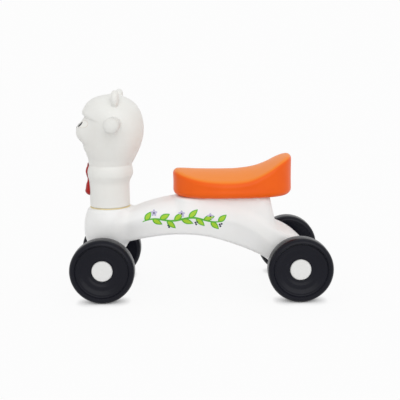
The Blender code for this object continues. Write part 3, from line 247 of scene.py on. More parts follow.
def moulded(name, colour, shade_colour, roughness, grain_mm, relief_mm, seam=None, painted_top_light=None,
            **sockets):
    """Moulded plastic: slow colour drift, the mould's blasted grain, and a fine parting line.

    grain_mm is the width of the grain, relief_mm its depth, seam the world axis (0 X, 1 Y) that
    the halves of the mould parted along, and painted_top_light a paler colour painted on faces that
    look up, as painted light and sheen from above."""
    made, tree, shader = finish(name, **sockets)
    place = add_node(tree, "ShaderNodeTexCoord")
    drift = add_node(tree, "ShaderNodeTexNoise", {"Scale": 1 / (DRIFT_MM * MM), "Detail": 3.0},
                     {"Vector": (place, "Object")})
    tint = add_node(tree, "ShaderNodeValToRGB", {}, {"Fac": (drift, "Fac")})
    tint.color_ramp.elements[0].position = 0.30
    tint.color_ramp.elements[0].color = linear(shade_colour)
    tint.color_ramp.elements[1].position = 0.62
    tint.color_ramp.elements[1].color = linear(colour)
    grain = add_node(tree, "ShaderNodeTexNoise", {"Scale": 1 / (grain_mm * MM), "Detail": 4.0,
                                                  "Roughness": 0.55}, {"Vector": (place, "Object")})
    peel = add_node(tree, "ShaderNodeTexNoise", {"Scale": 1 / (PEEL_MM * MM), "Detail": 1.0},
                    {"Vector": (place, "Object")})
    rough = add_node(tree, "ShaderNodeMapRange",
                     {"To Min": roughness - 0.05, "To Max": roughness + 0.06},
                     {"Value": (grain, "Fac")})
    bumps = add_node(tree, "ShaderNodeBump", {"Strength": 1.0, "Distance": relief_mm * MM},
                     {"Height": (grain, "Fac")})
    waves = add_node(tree, "ShaderNodeBump", {"Strength": 1.0, "Distance": PEEL_DEPTH_MM * MM},
                     {"Height": (peel, "Fac"), "Normal": (bumps, "Normal")})
    last = waves
    if seam is not None:
        axes = add_node(tree, "ShaderNodeSeparateXYZ", {}, {"Vector": (place, "Object")})
        off = add_node(tree, "ShaderNodeMath", {"operation": "ABSOLUTE"}, {0: (axes, seam)})
        ridge = add_node(tree, "ShaderNodeMapRange", {"interpolation_type": "SMOOTHSTEP",
                                                      "From Min": 0.0, "From Max": SEAM_MM * MM,
                                                      "To Min": 1.0, "To Max": 0.0},
                         {"Value": (off, "Value")})
        last = add_node(tree, "ShaderNodeBump", {"Strength": 1.0, "Distance": SEAM_HEIGHT_MM * MM},
                        {"Height": (ridge, "Result"), "Normal": (waves, "Normal")})
    paint, output = tint, "Color"
    # painted top light: faces that look up are painted paler, as if lit from above and catching
    # sheen
    if painted_top_light:
        facing = add_node(tree, "ShaderNodeSeparateXYZ", {}, {"Vector": (place, "Normal")})
        top_light_share = add_node(tree, "ShaderNodeMapRange", {"interpolation_type": "SMOOTHSTEP",
                                                       "From Min": 0.45, "From Max": 0.85},
                          {"Value": (facing, "Z")})
        paint = add_node(tree, "ShaderNodeMix", {"data_type": "RGBA", 7: linear(painted_top_light)},
                         {0: (top_light_share, "Result"), 6: (tint, "Color")})
        output = 2
    connect(tree, shader, {"Base Color": (paint, output), "Roughness": (rough, "Result"),
                           "Normal": (last, "Normal")})
    return made


def printed(name, colour, worn_colour, roughness):
    """Screen-printed vinyl ink: even, a little glossy, with faint pinholes of the mesh."""
    made, tree, shader = finish(name, IOR=1.52)
    place = add_node(tree, "ShaderNodeTexCoord")
    mesh = add_node(tree, "ShaderNodeTexNoise", {"Scale": 1 / (INK_MESH_MM * MM), "Detail": 2.0},
                    {"Vector": (place, "Object")})
    ink = add_node(tree, "ShaderNodeValToRGB", {}, {"Fac": (mesh, "Fac")})
    ink.color_ramp.elements[0].position = 0.22
    ink.color_ramp.elements[0].color = linear(worn_colour)
    ink.color_ramp.elements[1].position = 0.38
    ink.color_ramp.elements[1].color = linear(colour)
    rough = add_node(tree, "ShaderNodeMapRange",
                     {"To Min": roughness - 0.06, "To Max": roughness + 0.06},
                     {"Value": (mesh, "Fac")})
    film = add_node(tree, "ShaderNodeBump", {"Strength": 1.0, "Distance": INK_DEPTH_MM * MM},
                    {"Height": (mesh, "Fac")})
    connect(tree, shader, {"Base Color": (ink, "Color"), "Roughness": (rough, "Result"),
                           "Normal": (film, "Normal")})
    return made


def zinc_plated_steel(name):
    """Bright grey metal with fine turning lines and cloudy passivation."""
    made, tree, shader = finish(name, Metallic=1.0)
    place = add_node(tree, "ShaderNodeTexCoord")
    stretch = add_node(tree, "ShaderNodeMapping", {"Scale": (1.0, 14.0, 1.0)},
                       {"Vector": (place, "Object")})
    lines = add_node(tree, "ShaderNodeTexNoise", {"Scale": 1 / (TURNING_MM * MM), "Detail": 3.0},
                     {"Vector": (stretch, "Vector")})
    cloud = add_node(tree, "ShaderNodeTexNoise", {"Scale": 1 / (CLOUD_MM * MM), "Detail": 2.0},
                     {"Vector": (place, "Object")})
    tint = add_node(tree, "ShaderNodeValToRGB", {}, {"Fac": (cloud, "Fac")})
    tint.color_ramp.elements[0].color = linear("#A9ABAF")
    tint.color_ramp.elements[1].color = linear("#C9CACB")
    rough = add_node(tree, "ShaderNodeMapRange", {"To Min": 0.24, "To Max": 0.44},
                     {"Value": (lines, "Fac")})
    turning = add_node(tree, "ShaderNodeBump",
                       {"Strength": 0.5, "Distance": TURNING_DEPTH_MM * MM},
                       {"Height": (lines, "Fac")})
    connect(tree, shader, {"Base Color": (tint, "Color"), "Roughness": (rough, "Result"),
                           "Normal": (turning, "Normal")})
    return made


# Blow-moulded polyethylene is waxy and slightly see-through, so light softens inside it.
WAXY = {"IOR": 1.51, "Subsurface_Weight": 0.05, "Subsurface_Radius": (0.005, 0.0048, 0.0045),
        "Subsurface_Scale": 1.0}
FINISH = {
    # cool white shell with a satin blasted skin
    "white_body": moulded("blow-moulded white polyethylene", "#F3F3F2", "#F0F0EE", 0.40, 1.1, 0.03,
                          seam=1, **WAXY),
    # the head's batch is warmer and a little creamier
    "white_head": moulded("blow-moulded cream-white polyethylene", "#ECECE8", "#E9E8E3", 0.44,
                          1.1, 0.03, seam=1, **WAXY),
    # the grips' batch is a shade greyer than the head
    "white_grip": moulded("blow-moulded grey-white polyethylene", "#E5E5E1", "#E2E1DC", 0.44, 1.1,
                          0.03, seam=1, **WAXY),
    # deep orange sides; faces that look up are painted paler and yellower, a painted top light and
    # sheen
    "orange": moulded("blow-moulded orange polyethylene", "#F36308", "#F05E06", 0.36, 1.1, 0.03,
                      seam=1, painted_top_light="#F78C2E", IOR=1.51, Specular_IOR_Level=0.22),
    # near-black wheel with a dull satin face
    "black_wheel": moulded("blow-moulded black polyethylene", "#11121C", "#0F1019", 0.28, 1.3,
                           0.05, IOR=1.51, Specular_IOR_Level=0.16),
    # pale grey snap cap, spark-eroded face
    "grey_cap": moulded("injection-moulded grey polypropylene", "#EAEAE8", "#E7E7E5", 0.46, 0.8,
                        0.04, IOR=1.49),
    # amber washer under the neck; its pale yellow is partly the nylon's own colour and partly
    # painted seam shade and painted reflection of the cream plastics
    "yellow_nylon": moulded("yellow nylon coloured as seam shade and reflection", "#F7E7B4", "#F3E0A6", 0.42, 0.8, 0.02,
                            IOR=1.53),
    # soft red vinyl with an even satin skin
    "red_tie": moulded("moulded red vinyl", "#A8100B", "#990E0A", 0.38, 0.9, 0.03, IOR=1.53,
                       Specular_IOR_Level=0.25),
    # milky nylon of the bushes and spacers
    "natural_nylon": moulded("moulded natural nylon", "#DFDCD0", "#D9D5C8", 0.48, 0.8, 0.02,
                             IOR=1.53),
    # charcoal axle carrier with a coarse spark-eroded grain
    "black_fork": moulded("injection-moulded black polypropylene", "#232427", "#1F2022", 0.52,
                          0.9, 0.06, IOR=1.49),
    # bright axles and screws
    "steel": zinc_plated_steel("zinc-plated steel"),
    # flat, even inks of the face and the sprig
    "black_print": printed("black screen ink on vinyl", "#1D1D20", "#2A2A2C", 0.40),
    "eye_print": printed("cream screen ink on vinyl", "#F1F0EB", "#ECEAE4", 0.42),
    "lash_print": printed("dusky screen ink on vinyl", "#DFD2C8", "#D6C7BC", 0.45),
    "leaf_print": printed("green screen ink on vinyl", "#57B32B", "#62BA38", 0.42),
    "lime_print": printed("lime screen ink on vinyl", "#A6CF22", "#9BC81E", 0.42),
    "lilac_print": printed("lilac screen ink on vinyl", "#BDB9D6", "#C7C4DC", 0.42),
    "navy_print": printed("navy screen ink on vinyl", "#23243F", "#2C2D48", 0.42),
}


# Mesh helpers
def smoothed(mesh, sharp):
    """Shades a mesh smooth, but for edges that turn by more than an angle in degrees."""
    mesh.shade_smooth()
    mesh.set_sharp_from_angle(angle=math.radians(sharp))
    return mesh


def mesh_of(name, points, faces, sharp=35):
    """A mesh from points in millimetres, with its faces turned outward."""
    mesh = bpy.data.meshes.new(name)
    mesh.from_pydata((np.asarray(points, float) * MM).tolist(), [], faces)
    work = bmesh.new()
    work.from_mesh(mesh)
    bmesh.ops.remove_doubles(work, verts=work.verts, dist=1e-6)
    bmesh.ops.recalc_face_normals(work, faces=work.faces)
    work.to_mesh(mesh)
    work.free()
    return smoothed(mesh, sharp)


def loft(name, rings, sharp=35):
    """A closed skin through rings of points, each end closed by a fan."""
    rings = np.asarray(rings, float)
    rows, count = rings.shape[:2]
    first = (np.arange(rows - 1)[:, None] * count + np.arange(count)).ravel()
    following = (np.arange(rows - 1)[:, None] * count + (np.arange(count) + 1) % count).ravel()
    faces = np.stack((first, following, following + count, first + count), axis=1).tolist()
    points = rings.reshape(-1, 3)
    for start in (0, (rows - 1) * count):
        hub = len(points)
        points = np.vstack((points, points[start:start + count].mean(axis=0)))
        faces += [(start + i, start + (i + 1) % count, hub) for i in range(count)]
    return mesh_of(name, points, faces, sharp)


def soften(outline, radius, steps=4, closed=True):
    """Rounds the corners of an outline with short curves."""
    outline = [np.array(p, float) for p in outline]
    count = len(outline)
    made = []
    for i, corner in enumerate(outline):
        if not closed and i in (0, count - 1):
            made.append(corner)
            continue
        before, after = outline[i - 1], outline[(i + 1) % count]
        back, ahead = before - corner, after - corner
        # a rounding takes less than half of each side
        reach = min(radius, 0.45 * np.linalg.norm(back), 0.45 * np.linalg.norm(ahead))
        a = corner + back / np.linalg.norm(back) * reach
        b = corner + ahead / np.linalg.norm(ahead) * reach
        for k in range(steps + 1):
            t = k / steps
            made.append((1 - t) ** 2 * a + 2 * t * (1 - t) * corner + t * t * b)
    return made


def turned(name, outline, centre, axis="Y", side=1, sides=64):
    """Turns an outline of (radius, distance along the axis) about an axis through centre."""
    outline = np.asarray(outline, float)
    closed = outline[0][0] > 1e-6
    angle = np.linspace(0, 2 * math.pi, sides, endpoint=False)
    radius, along = outline[:, 0][:, None], outline[:, 1][:, None] + 0 * angle
    a, b = radius * np.cos(angle), radius * np.sin(angle)
    if axis == "Y":
        grid = np.stack((centre[0] + a, centre[1] + side * along, centre[2] + b), axis=-1)
    else:
        grid = np.stack((centre[0] + a, centre[1] + b, centre[2] + along), axis=-1)
    rows = len(outline)
    faces = []
    for r in range(rows if closed else rows - 1):
        s = (r + 1) % rows
        for i in range(sides):
            j = (i + 1) % sides
            faces.append((r * sides + i, r * sides + j, s * sides + j, s * sides + i))
    if not closed:
        faces = [tuple(range(k * sides, (k + 1) * sides)) for k in (0, rows - 1)
                 if outline[k][0] > 1e-6] + faces
    return mesh_of(name, grid.reshape(-1, 3), faces)


def piece(name, mesh, paint, body, *nodes, slot=None):
    """Puts a mesh in the scene as a piece that rides on a body and stands for CAD nodes.

    The slot argument is not used."""
    obj = bpy.data.objects.new(name, mesh)
    bpy.context.scene.collection.objects.link(obj)
    mesh.materials.clear()
    mesh.materials.append(FINISH[paint])
    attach(obj, body)
    if nodes:
        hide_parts(*nodes)


def turned_piece(name, outline, centre, paint, body, node, axis="Y", side=1, sides=64, slot=None):
    """A piece that is one turned shape."""
    piece(name, turned(name, outline, centre, axis, side, sides), paint, body, node, slot=slot)


def shaped(mesh, tools, sharp):
    """Cuts and joins tool meshes, given as (operation, mesh), and returns the result."""
    scene = bpy.context.scene
    obj = bpy.data.objects.new("work", mesh)
    scene.collection.objects.link(obj)
    helpers = []
    for operation, tool in tools:
        helper = bpy.data.objects.new("tool", tool)
        scene.collection.objects.link(helper)
        helpers.append(helper)
        step = obj.modifiers.new("step", "BOOLEAN")
        step.operation = operation
        step.object = helper
    result = evaluated(obj)
    for helper in helpers:
        bpy.data.objects.remove(helper)
    bpy.data.objects.remove(obj)
    return smoothed(result, sharp)


def evaluated(obj):
    """A new mesh of what an object's modifiers make of it."""
    bpy.context.view_layer.update()
    graph = bpy.context.evaluated_depsgraph_get()
    return bpy.data.meshes.new_from_object(obj.evaluated_get(graph))


def joined(name, meshes):
    """One mesh that holds several, each still closed by itself."""
    work = bmesh.new()
    for mesh in meshes:
        work.from_mesh(mesh)
    made = bpy.data.meshes.new(name)
    work.to_mesh(made)
    work.free()
    return made


def fused(name, meshes, voxel_mm, passes, sharp):
    """Melts closed meshes into one skin, with small fillets where they meet."""
    obj = bpy.data.objects.new(name, joined(name, meshes))
    bpy.context.scene.collection.objects.link(obj)
    skin = obj.modifiers.new("skin", "REMESH")
    skin.mode = "VOXEL"
    skin.voxel_size = voxel_mm * MM
    easing = obj.modifiers.new("easing", "SMOOTH")
    easing.factor = 0.5
    easing.iterations = passes
    result = evaluated(obj)
    bpy.data.objects.remove(obj)
    return smoothed(result, sharp)


def block(name, low, high):
    """A box between two opposite corners."""
    corners = [(x, y, z) for x in (low[0], high[0]) for y in (low[1], high[1])
               for z in (low[2], high[2])]
    faces = [(0, 1, 3, 2), (4, 6, 7, 5), (0, 4, 5, 1), (2, 3, 7, 6), (0, 2, 6, 4), (1, 5, 7, 3)]
    return mesh_of(name, corners, faces)


# Curves and fields of the shells
def curve(table, at, column=1):
    """A smooth line through a table's rows that never overshoots them."""
    rows = np.asarray(table, dtype=float)
    x, y = rows[:, 0], rows[:, column]
    step = np.diff(x)
    slope = np.diff(y) / step
    tangent = np.zeros_like(y)
    same = slope[:-1] * slope[1:] > 0
    weight_a, weight_b = 2 * step[1:] + step[:-1], step[1:] + 2 * step[:-1]
    safe_a, safe_b = np.where(same, slope[:-1], 1.0), np.where(same, slope[1:], 1.0)
    blended = (weight_a + weight_b) / (weight_a / safe_a + weight_b / safe_b)
    tangent[1:-1] = np.where(same, blended, 0)
    tangent[0], tangent[-1] = slope[0], slope[-1]
    at = np.clip(np.asarray(at, dtype=float), x[0], x[-1])
    i = np.clip(np.searchsorted(x, at, side="right") - 1, 0, len(step) - 1)
    t = (at - x[i]) / step[i]
    return ((2 * t**3 - 3 * t**2 + 1) * y[i] + (t**3 - 2 * t**2 + t) * step[i] * tangent[i]
            + (3 * t**2 - 2 * t**3) * y[i + 1] + (t**3 - t**2) * step[i] * tangent[i + 1])


def round_max(a, b, radius):
    """Cuts one field with another and rounds the edge between them."""
    corner = np.hypot(np.maximum(radius + a, 0), np.maximum(radius + b, 0))
    return np.minimum(-radius, np.maximum(a, b)) + corner


def round_min(a, b, radius):
    """Joins two fields with a fillet."""
    return -round_max(-a, -b, radius)


# Each field is below 0 inside its form, and its heights are above the axles.
def bulb_field(x, y, height):
    """The upright bulb that carries the head and holds the steering sleeve."""
    middle = STEER_X - BULB_LEAN * (BULB_TOP - height)
    side = np.hypot(x - middle, y) - NECK_RADIUS * curve(BULB, height / BULB_TOP)
    top_and_side = round_max(side, height - BULB_TOP - SKIM, 0.6 * EDGE_ROUNDING)
    return round_max(top_and_side, BULB_BOTTOM - height, 0.8 * EDGE_ROUNDING)


def beam_field(x, y, height):
    """The arched beam, which widens into the two rear legs."""
    share = (x - FRONT_X) / WHEEL_BASE
    width = SADDLE_HALF_WIDTH * curve(BODY_WIDTH, share) + BOSS_END * curve(BODY_WIDTH, share, 2)
    crease = SADDLE_TOP * curve(BODY_CREASE, share)
    crown = BEAM_CROWN * (y / width) ** 2
    top = height - SADDLE_TOP * curve(BODY_TOP, share) + crown
    rearward = np.clip((share - BEAM_EASE_START) / BEAM_EASE, 0, 1)
    rearward = rearward**2 * (3 - 2 * rearward)
    # the sides lean in by 0.14 above the crease and 0.26 below it, and the factors 0.95, 1.01 and
    # 1.03 bring sloping faces near their true distance
    tilt = 0.95 - 0.17 * rearward
    rounding = BEAM_ROUNDING - (BEAM_ROUNDING - BEAM_REAR_ROUNDING) * rearward
    upper = (np.abs(y) - width + 0.14 * (height - crease)) / 1.01
    lower = (np.abs(y) - width + 0.26 * (crease - height)) / 1.03
    side = round_max(upper, lower, 0.6 * EDGE_ROUNDING)
    field = round_max(side, top * tilt, rounding)
    bottom = SADDLE_TOP * curve(BODY_BOTTOM, share) - height
    field = round_max(field, bottom * tilt, 1.2 * EDGE_ROUNDING)
    rear = FRONT_X + BODY_REAR_SHARE * WHEEL_BASE
    field = round_max(field, x - rear, BODY_REAR_ROUNDING)
    return round_max(field, STEER_X - x, EDGE_ROUNDING)


def saddle_field(x, y, height):
    """The raised part under the seat, whose sides spread by 0.10 downward."""
    rear_share = SADDLE_REAR_SHARE - SADDLE_REAR_RAKE * height / SADDLE_TOP
    rear = x - FRONT_X - rear_share * WHEEL_BASE
    front = FRONT_X + SADDLE_FRONT_SHARE * WHEEL_BASE - x
    side = np.abs(y) - SADDLE_HALF_WIDTH - 0.10 * (SADDLE_TOP - height)
    field = round_max(round_max(side, rear, SADDLE_ROUNDING), front, SADDLE_ROUNDING)
    field = round_max(field, height - SADDLE_TOP - SKIM, EDGE_ROUNDING)
    crease = SADDLE_TOP * curve(BODY_CREASE, (x - FRONT_X) / WHEEL_BASE)
    return round_max(field, crease - height, EDGE_ROUNDING)


def body_field(x, y, height):
    """Beam, saddle and bulb in one."""
    field = round_min(beam_field(x, y, height), saddle_field(x, y, height), SADDLE_BLEND)
    field = round_max(field, height - SADDLE_TOP - SKIM, 0.8 * EDGE_ROUNDING)
    return round_min(field, bulb_field(x, y, height), BULB_BLEND)


def leaves_body(ox, oy, oh, dx, dy, dh):
    """How far each ray runs before it leaves the body, in 2 mm steps and then by halving."""
    def outside(reach):
        return body_field(ox + reach * dx, oy + reach * dy, oh + reach * dh) > 0
    low = np.zeros(np.broadcast(ox, dx, dy, dh).shape)
    high = np.full(low.shape, 2.0)
    for _ in range(80):
        inside = ~outside(high)
        low = np.where(inside, high, low)
        high = np.where(inside, high + 2.0, high)
    for _ in range(22):
        middle = (low + high) / 2
        out = outside(middle)
        high = np.where(out, middle, high)
        low = np.where(out, low, middle)
    return (low + high) / 2


def body_rings(stations, front_fan, rear_fan, count):
    """Rings square to the body's spine, with fans of rings round its two ends."""
    shares = np.linspace(BODY_SPINE[0][0], BODY_SPINE[-1][0], stations)
    origin_x = FRONT_X + shares * WHEEL_BASE
    origin_h = SADDLE_TOP * curve(BODY_SPINE, shares)
    run, rise = np.gradient(origin_x), np.gradient(origin_h)
    length = np.hypot(run, rise)
    # each fan stops just short of a quarter turn, where the loft closes the skin
    rays = [(0, -math.pi / 2 * k / (front_fan + 0.35)) for k in range(front_fan, 0, -1)]
    rays += [(i, 0.0) for i in range(stations)]
    rays += [(stations - 1, math.pi / 2 * k / (rear_fan + 0.35)) for k in range(1, rear_fan + 1)]
    around = np.linspace(0, 2 * math.pi, count, endpoint=False)
    index = np.array([r[0] for r in rays])
    lean = np.array([r[1] for r in rays])[:, None]
    ox, oh = origin_x[index][:, None], origin_h[index][:, None]
    ux, uh = (run / length)[index][:, None], (rise / length)[index][:, None]
    dx = np.sin(lean) * ux - np.cos(lean) * np.cos(around) * uh
    dh = np.sin(lean) * uh + np.cos(lean) * np.cos(around) * ux
    dy = np.cos(lean) * np.sin(around)
    reach = leaves_body(ox, 0.0, oh, dx, dy, dh)
    return np.stack((ox + reach * dx, reach * dy, AXLE_Z + oh + reach * dh), axis=-1)


def build_body():
    """The hollow body: its skin and bosses, less the bores, wells and flats of what it carries."""
    shell = loft("body_moulding", body_rings(stations=128, front_fan=11, rear_fan=15, count=112),
                 sharp=50)
    boss = soften([(0, BOSS_END - BOSS_LENGTH), (BOSS_RADIUS, BOSS_END - BOSS_LENGTH),
                   (BOSS_RADIUS, BOSS_END), (0, BOSS_END)], BOSS_EASE, closed=False)
    bosses = [turned("boss", boss, (REAR_X, 0, AXLE_Z), side=side) for side, _ in SIDES]
    # each cutter runs on a little past the skin
    past = BOSS_END + 5
    bore = [(0, -past), (AXLE_HOLE, -past), (AXLE_HOLE, past), (0, past)]
    holes = [turned("bore", bore, (REAR_X, 0, AXLE_Z), sides=48)]
    for x in SCREW_X:
        top = AXLE_Z + SADDLE_TOP - PLATE
        underside = SADDLE_TOP * float(curve(BODY_BOTTOM, (x - FRONT_X) / WHEEL_BASE))
        low = AXLE_Z + underside - 14
        well = [(0, low), (WELL_RADIUS, low), (WELL_RADIUS, top), (0, top)]
        holes.append(turned("well", well, (x, 0, 0), "Z", sides=48))
    hole, past = STEM_RADIUS + RUNNING + SLEEVE_WALL + GAP, BULB_TOP_Z + 20
    sleeve = [(0, AXLE_Z), (hole, AXLE_Z), (hole, past), (0, past)]
    holes.append(turned("sleeve", sleeve, (STEER_X, 0, 0), "Z"))
    past = BULB_TOP_Z + 40
    seat = [(0, BULB_TOP_Z), (NECK_SEAT_RADIUS, BULB_TOP_Z), (NECK_SEAT_RADIUS, past), (0, past)]
    planes = [turned("seat", seat, (STEER_X, 0, 0), "Z", sides=128), block("under", *TAIL_CUT),
              block("flat", *SEAT_CUT)]
    steps = [("UNION", joined("bosses", bosses)), ("DIFFERENCE", joined("holes", holes)),
             ("DIFFERENCE", joined("planes", planes))]
    piece("body_moulding", shaped(shell, steps, sharp=42), "white_body", "frame", "body_shell")


# Seat
def seat_outline(angle):
    """How far the seat reaches from its middle, seen from above; it is squarer at the rear."""
    power = 2.42 + 0.18 * np.cos(angle)
    along = np.abs(np.cos(angle) / (SEAT_LENGTH / 2)) ** power
    across = np.abs(np.sin(angle) / SEAT_HALF_WIDTH) ** power
    return (along + across) ** (-1 / power)


def seat_top(x, y):
    """The height of the seat's dished top."""
    share = (x - SEAT_X) / SEAT_LENGTH
    droop = curve(SEAT_DROOP, share) * (np.abs(y) / SEAT_HALF_WIDTH) ** 1.6
    return SEAT_Z + curve(SEAT_CROWN, share) - droop


def seat_ring(angle, inset, drop=None, rise=None):
    """A ring inside the outline, either below the top's surface or above the saddle."""
    reach = seat_outline(angle) - inset
    x = SEAT_X + SEAT_LENGTH / 2 + reach * np.cos(angle)
    y = reach * np.sin(angle)
    z = seat_top(x, y) - drop if rise is None else np.full_like(x, SEAT_Z + rise)
    return np.stack((x, y, z), axis=-1)


def build_seat():
    """The dished seat: top, rounded rim, slightly hollow sides, rounded hem and flat underside."""
    angle = np.linspace(0, 2 * math.pi, 176, endpoint=False)
    outline = seat_outline(angle)
    # counts of rings on the top, round each edge and down the sides; how far the sides draw in
    top, turns, sides, hollow = 22, 8, 9, 0.35
    rings = []
    for k in range(1, top + 1):
        inset = outline - (k / top) ** 0.9 * (outline - SEAT_RIM)
        rings.append(seat_ring(angle, inset, drop=0))
    for k in range(1, turns + 1):
        a = math.pi / 2 * k / turns
        inset, drop = SEAT_RIM * (1 - math.sin(a)), SEAT_RIM * (1 - math.cos(a))
        rings.append(seat_ring(angle, inset, drop=drop))
    lower, upper = seat_ring(angle, 0, rise=SEAT_HEM), rings[-1]
    for k in range(1, sides):
        share = k / sides
        pinch = hollow * math.sin(math.pi * share)
        ring = upper * (1 - share) + lower * share
        ring[:, 0] -= pinch * np.cos(angle)
        ring[:, 1] -= pinch * np.sin(angle)
        rings.append(ring)
    for k in range(turns + 1):
        a = math.pi / 2 * k / turns
        inset, rise = SEAT_HEM * (1 - math.cos(a)), SEAT_HEM * (1 - math.sin(a))
        rings.append(seat_ring(angle, inset, rise=rise))
    for share in (0.8, 0.5, 0.2):
        rings.append(seat_ring(angle, outline * (1 - share), rise=0))
    piece("seat_moulding", loft("seat_moulding", rings, sharp=45), "orange", "frame", "seat_shell")


# Head
def head_section(height):
    """Where the head's oval lies at a height: its middle, half length and half width."""
    share = height / HEAD_HEIGHT
    front, rear, half = (NECK_RADIUS * curve(HEAD, share, column) for column in (1, 2, 3))
    return STEER_X + (rear - front) / 2, (front + rear) / 2, half


def head_points(angle, height, lift=0.0):
    """Points on the head in millimetres; angle 0 faces forward."""
    middle, half_length, half_width = head_section(height)
    reach = 1 / np.hypot(np.cos(angle) / half_length, np.sin(angle) / half_width)
    turn = np.abs((angle + math.pi) % (2 * math.pi) - math.pi)
    share = height / HEAD_HEIGHT
    muzzle = NECK_RADIUS * curve(MUZZLE, share) * np.exp(-(turn / MUZZLE_TURN) ** 3)
    brow_height = (height + BROW_DIP * turn**2) / HEAD_HEIGHT
    brow = NECK_RADIUS * curve(BROW, brow_height) * np.exp(-(turn / BROW_TURN) ** 4)
    depth, place, half = BROW_CREASE
    crease = depth * np.exp(-((HEAD_HEIGHT * brow_height - place) / half) ** 2
                            - ((turn - CREASE_TURN) / CREASE_SPREAD) ** 2)
    depth, place, half = COLLAR_LINE
    collar_line = depth * np.exp(-((height - place) / half) ** 2)
    reach = reach + muzzle + brow - crease - collar_line + lift
    x, y = middle - reach * np.cos(angle), reach * np.sin(angle)
    return np.stack((x, y, FOOT_Z + height), axis=-1)


def build_ear(side):
    """A thick round ear with a full rim and a shallow dish in front."""
    half = EAR_THICKNESS / 2
    ring = EAR_RADIUS - half
    # the rim rounds from inside the dish to the back, a little over half a turn
    rim = [(ring + half * math.cos(t), half * math.sin(t)) for t in np.linspace(-1.75, 1.57, 18)]
    dish = [(share * ring, depth - half) for share, depth in EAR_DISH]
    outline = dish + rim + [(0, half + 0.5)]
    mesh = turned("ear", outline, (0, 0, 0), "Z", sides=72)
    lay = Matrix.Rotation(math.radians(90), 4, "Y")
    mesh.transform(Matrix.Translation([c * MM for c in (EAR_X, side * EAR_Y, EAR_Z)]) @ lay)
    return mesh


def build_head():
    """Head, neck and collar in one skin, with the ears melted on."""
    count = 128
    angle = np.linspace(0, 2 * math.pi, count, endpoint=False)
    crown = HEAD_HEIGHT - CROWN * np.linspace(1, 0, 22)[1:] ** 2
    heights = np.concatenate((np.linspace(1.4, HEAD_HEIGHT - CROWN, 116), crown))
    foot = [head_points(angle, np.full(count, h), -inset) for h, inset in FOOT_EDGE]
    rings = foot + [head_points(angle, np.full(count, h)) for h in heights]
    parts = [loft("head", rings)] + [build_ear(side) for side, _ in SIDES]
    mesh = fused("head_moulding", parts, voxel_mm=1.25, passes=4, sharp=50)
    piece("head_moulding", mesh, "white_head", "steering", "head_shell")


def build_grips():
    """Two round grips with domed ends, faintly waisted."""
    length, r = GRIP_END - GRIP_START, GRIP_RADIUS
    dome = [(r * math.sin(t) ** 0.85, length - GRIP_DOME * (1 - math.cos(t)))
            for t in np.linspace(0, math.pi / 2, 14)]
    outline = dome + [(r - slim, along) for slim, along in GRIP_WAIST] + [(0, 0)]
    for side, word in SIDES:
        turned_piece("grip_moulding_" + word, outline, (BAR_X, side * GRIP_START, BAR_Z),
                     "white_grip", "steering", "grip_" + word, side=side, sides=80,
                     slot="white_head")


def build_tie():
    """The moulded tie: a creased knot over the collar and a blade that thickens downward."""
    across = np.linspace(-1, 1, 41)
    crease_depth, crease_place, crease_half = KNOT_CREASE
    ridge_height, ridge_half = BLADE_RIDGE
    rings = []
    for share in np.linspace(TIE[0][0], TIE[-1][0], 70):
        height = HEAD_HEIGHT * share
        half, thick = NECK_RADIUS * curve(TIE, share), NECK_RADIUS * curve(TIE, share, 2)
        middle, half_length, half_width = head_section(height)
        y = across * half
        back = middle - half_length * np.sqrt(1 - (y / half_width) ** 2) - GAP
        swell = np.sqrt(np.maximum(1 - across**2, 0))
        knot = np.clip((share - KNOT_BOTTOM) / TIE_EASE, 0, 1)
        creases = np.exp(-((np.abs(across) - crease_place) / crease_half) ** 2)
        blade = np.clip((BLADE_TOP - share) / TIE_EASE, 0, 1)
        ridge = ridge_height * blade * np.exp(-(across / ridge_half) ** 2)
        front = (back - TIE_EDGE - (thick - TIE_EDGE) * swell + crease_depth * knot * creases
                 - ridge * swell)
        z = np.full(len(across), FOOT_Z + height)
        inner, outer = np.stack((back, y, z), axis=-1), np.stack((front, y, z), axis=-1)
        rings.append(np.vstack((inner, outer[::-1])))
    piece("tie_moulding", loft("tie_moulding", rings, sharp=60), "red_tie", "steering", "neck_tie")


def face_patch(name, angle, height, half_across, half_up, lift, spread=0.0, lean=0.0):
    """A printed oval that lies on the face. Spread widens its upper half, lean slants it."""
    spin = np.linspace(0, 2 * math.pi, 56, endpoint=False)
    _, half_length, _ = head_section(float(height))
    rings = []
    # its back lies in the skin, and its front bulges a little
    back, front = -0.6, 0.04
    for share, level in ((0.15, back), (0.6, back), (1.0, back), (1.0, 0), (0.8, front),
                         (0.55, front), (0.3, front), (0.08, front)):
        wide = 1 + spread * np.sin(spin)
        a = angle + share * (half_across * np.cos(spin) * wide / half_length + lean * np.sin(spin))
        rings.append(head_points(a, height + share * half_up * np.sin(spin), lift + level))
    return loft(name, rings, sharp=60)


def build_face():
    """Each eye is a pale oval with a fine edge and a dark pupil at its inner end."""
    def face_print(name, place, paint, *nodes, side=1, slot=None, **shape):
        patch = face_patch(name, side * place[0], *place[1:], **shape)
        piece(name, patch, paint, "steering", *nodes, slot=slot)
    for side, word in SIDES:
        face_print("eye_rim_" + word, EYE_EDGE, "lash_print", "eye_" + word, side=side,
                   slot="eye_print")
        face_print("eye_white_" + word, EYE_PALE, "eye_print", side=side)
        face_print("eye_pupil_" + word, PUPIL, "black_print", side=side, spread=PUPIL_SPREAD,
                   lean=side * PUPIL_LEAN)
    face_print("nose_print", NOSE, "black_print", "nose", spread=NOSE_SPREAD)


